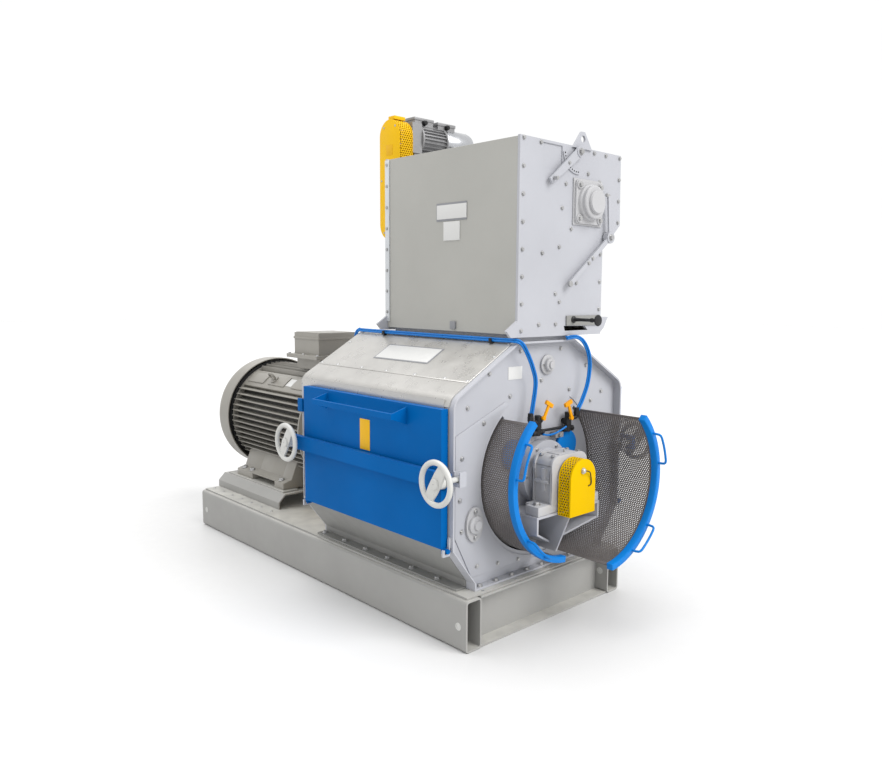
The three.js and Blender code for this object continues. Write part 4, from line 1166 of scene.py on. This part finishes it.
def motor_body():
    """Finned frame round a near-black core that is painted shade between the fins, with its pads, end shield
    and feet.
    """
    x0 = MOTOR_START
    # The core is painted near-black as the shade between the fins.
    core = Piece()
    core.lathe([(49, 0), (CORE_R, 0), (CORE_R, MOTOR_END - x0), (49, MOTOR_END - x0)], (x0, 0, AXIS_Z), X, 80)
    core.done("motor_core", "motor_core_shade")
    frame_part = Piece()

    def root_and_tip(offset):
        """How far a fin reaches inwards and outwards at its distance from the axis."""
        return math.sqrt(CORE_R ** 2 - offset ** 2) - 3, math.sqrt(FIN_R ** 2 - offset ** 2)

    for side in (-1, 1):
        for h in range(-228, 166, 30):
            root, tip = root_and_tip(h)
            fin = [(side * root, h - 3.4), (side * tip, h - 2), (side * tip, h + 2), (side * root, h + 3.4)]
            frame_part.prism([(y, AXIS_Z + z) for y, z in fin], "x", x0, MOTOR_END, 1.1)
        for v in range(15, 106, 30):
            root, tip = root_and_tip(v)
            y = side * v
            fin = [(y - 3.4, root), (y + 3.4, root), (y + 2, tip), (y - 2, tip)]
            frame_part.prism([(a, AXIS_Z + b) for a, b in fin], "x", x0, MOTOR_END, 1.1)
        pad = arc((0, AXIS_Z), PAD_R, 39, 63, 8) + arc((0, AXIS_Z), 255, 63, 39, 8)
        frame_part.prism([(side * y, z) for y, z in pad], "x", x0 + 2, MOTOR_END - 2, 3)
        raised = arc((0, AXIS_Z), PAD_R + 6, 44, 58, 6) + arc((0, AXIS_Z), PAD_R - 4, 58, 44, 6)
        for low in (-1020, -800, -560):
            frame_part.prism([(side * y, z) for y, z in raised], "x", low, low + 170, 4)
        z = 290.3  # top of the pedestal
        foot = [(-314, z), (-314, 325), (-265, 338), (-225, 440), (-150, 440), (-190, z)]
        bridge = [(-314, 324), (-314, 325), (-265, 338), (-225, 440), (-150, 440), (-184, 324)]
        for outline, low, high in ((foot, -967, -795), (bridge, -797, -555), (foot, -557, -465)):
            frame_part.prism([(-side * y, h) for y, h in outline], "x", low, high, 2.5)
    shield = [(49, -4), (FIN_R, -4), (FIN_R, 6), (268, 10), (252, 14), (252, 22), (150, 22), (120, 26),
              (120, 38), (49, 38)]
    frame_part.lathe(shield, (MOTOR_END, 0, AXIS_Z), X, 80)
    frame_part.lathe([(49, -6), (290, -6), (290, 4), (49, 4)], (x0, 0, AXIS_Z), X, 80)
    frame_part.done("motor_fins_and_feet", "motor", replaces=["motor_frame"])


def motor_details():
    bolts = Piece()
    for side in (-1, 1):
        for x in (-920, -835, -520):
            bolts.bolt((x, side * 291, 330), Z, 14)
    for i in range(8):
        t = math.radians(45 * i + 22.5)
        bolts.bolt((MOTOR_END + 10, CORE_R * math.cos(t), AXIS_Z + CORE_R * math.sin(t)), X, 8)
    box_low, box_high = corners("motor_terminal_box")
    for x in (box_low.x + 12, -530, box_high.x - 12):
        for y in (-143, 143):
            bolts.bolt((x, y, 985), Z, 7)
    bolts.done("motor_bolts", "zinc")
    extra = Piece()
    for side in (-1, 1):
        out = Vector((0, side * math.cos(PAD_TURN), math.sin(PAD_TURN)))
        at = Vector((-760, 0, AXIS_Z)) + PAD_R * out
        extra.rod(24, at - out * 4, at + out * 12, 28)
        centre = at + out * 34
        loop = [centre + X * a + out * b for a, b in ring(0, 0, 20, 24)]
        extra.tube(loop, 6.5, 12, closed=True)
    extra.box((-652, -129, 1066), (-404, 124, 1078), 2)
    extra.box((-640, -118, 1100), (-416, 113, 1103), 1.5)
    extra.done("motor_lifting_eyes", "motor")
    seal = Piece()
    seal.box((box_low.x + 1, -153.5, 973), (box_high.x - 1, 153.5, 977), 0.4)
    seal.done("terminal_box_seal", "rubber")
    plate = Piece()
    at = (-560, -PAD_R * math.cos(PAD_TURN), AXIS_Z + PAD_R * math.sin(PAD_TURN))
    plate.box((-60, -26, -1), (60, 26, 3), 0.5, turned_about(at, 39, "X"))
    plate.done("blank_plate_motor", "label")


# ---- air line ----
VALVE_X, HOSE_X = 1045, 1069


def air_line():
    black = Piece()
    for y, z, hose_y in ((-43, 800, -112), (144, 796, 172)):
        black.rod(13, (VALVE_X, y, z - 42), (VALVE_X, y, z + 40), 28, 2)
        black.rod(17, (VALVE_X, y, z - 14), (VALVE_X, y, z + 16), 6, 2)
        black.rod(15, (1046, y, z + 24), (1062, y, z + 24), 24)
        black.rod(12, (1018.4, y, z), (1046, y, z), 20)
        black.rod(10, (VALVE_X, y - 30, z - 30), (VALVE_X, y + 30, z - 30), 20)
        black.rod(13, (VALVE_X, y - 32, z - 30), (VALVE_X, y - 20, z - 30), 6)
        black.rod(13, (VALVE_X, y + 20, z - 30), (VALVE_X, y + 32, z - 30), 6)
        elbow = [(1050, y, z + 14), (1062, (y + hose_y) / 2, z + 16), (HOSE_X, hose_y, z + 22),
                 (HOSE_X, hose_y, z + 36)]
        black.tube(smooth(elbow, 6), 9, 16)
        black.rod(12.5, (HOSE_X, hose_y, z + 26), (HOSE_X, hose_y, z + 46), 6, 2)
        black.rod(11, (HOSE_X, hose_y, z + 44), (HOSE_X, hose_y, z + 58), 24)
    black.rod(6, (1048, -18, 776), (1048, 122, 776), 16)
    black.done("air_valve_bodies", "black", replaces=["air_valves"])
    pipe = Piece()
    points = [(1056, -22, 762), (1056, 10, 756), (1056, 50, 757), (1056, 90, 767), (1056, 122, 778)]
    pipe.tube(smooth(points, 8), 4, 12)
    pipe.done("valve_link_pipe", "hose")
    # The routes of the CAD model's two hoses, given point by point.
    near = [(1069, -112, 834), (1069, -100, 885), (1069, -86, 975), (1069, -104, 1035), (1069, -138, 1095),
            (1068, -172, 1134), (1040, -190, 1142), (960, -190, 1141), (500, -190, 1141), (90, -190, 1142),
            (48, -190, 1143), (22, -190, 1122), (18, -190, 1050)]
    far = [(1069, 172, 836), (1069, 208, 885), (1069, 240, 950), (1069, 252, 1024), (1069, 240, 1080),
           (1069, 205, 1126), (1068, 160, 1146), (1066, 100, 1144)]
    for label, route in (("near", near), ("far", far)):
        twin = Piece()
        path = smooth(route, 10)
        for turn in (-1, 1):
            offset = []
            for i, p in enumerate(path):
                along = path[min(i + 1, len(path) - 1)] - path[max(i - 1, 0)]
                offset.append(p + turn * 4.4 * along.cross(Vector((0.5, -0.8, 0.33))).normalized())
            twin.tube(offset, 4.5, 14)
        twin.done(f"twin_air_hose_{label}", "hose", replaces=[f"air_hose_{label}"])
    block = Piece()
    block.box((1020, 62, 735), (1052, 112, 758), 3)
    block.rod(8, (1052, 86, 746), (1062, 86, 746), 20)
    block.done("air_manifold", "alloy")
    clips = Piece()
    for x in (245, 930):
        clips.box((x - 9, -204, 1128), (x + 9, -176, 1134), 1.5)
        for y in (-203, -181):
            clips.box((x - 7, y, 1130), (x + 7, y + 4, 1147), 1)
    clips.done("hose_clips", "black")


camera()
studio()
for finish_name, names in FINISHES.items():
    for node_name in names:
        dress(node_name, finish_name)
for details in (base_details, cover_details, front_plate_details, rear_plate_details, wheels,
                door_details, bearing_details, bearing_guard, screens, feeder_details,
                feeder_bearing_details, lever_details, chain_case, gearmotor_details, motor_cowl,
                motor_body, motor_details, air_line):
    details()
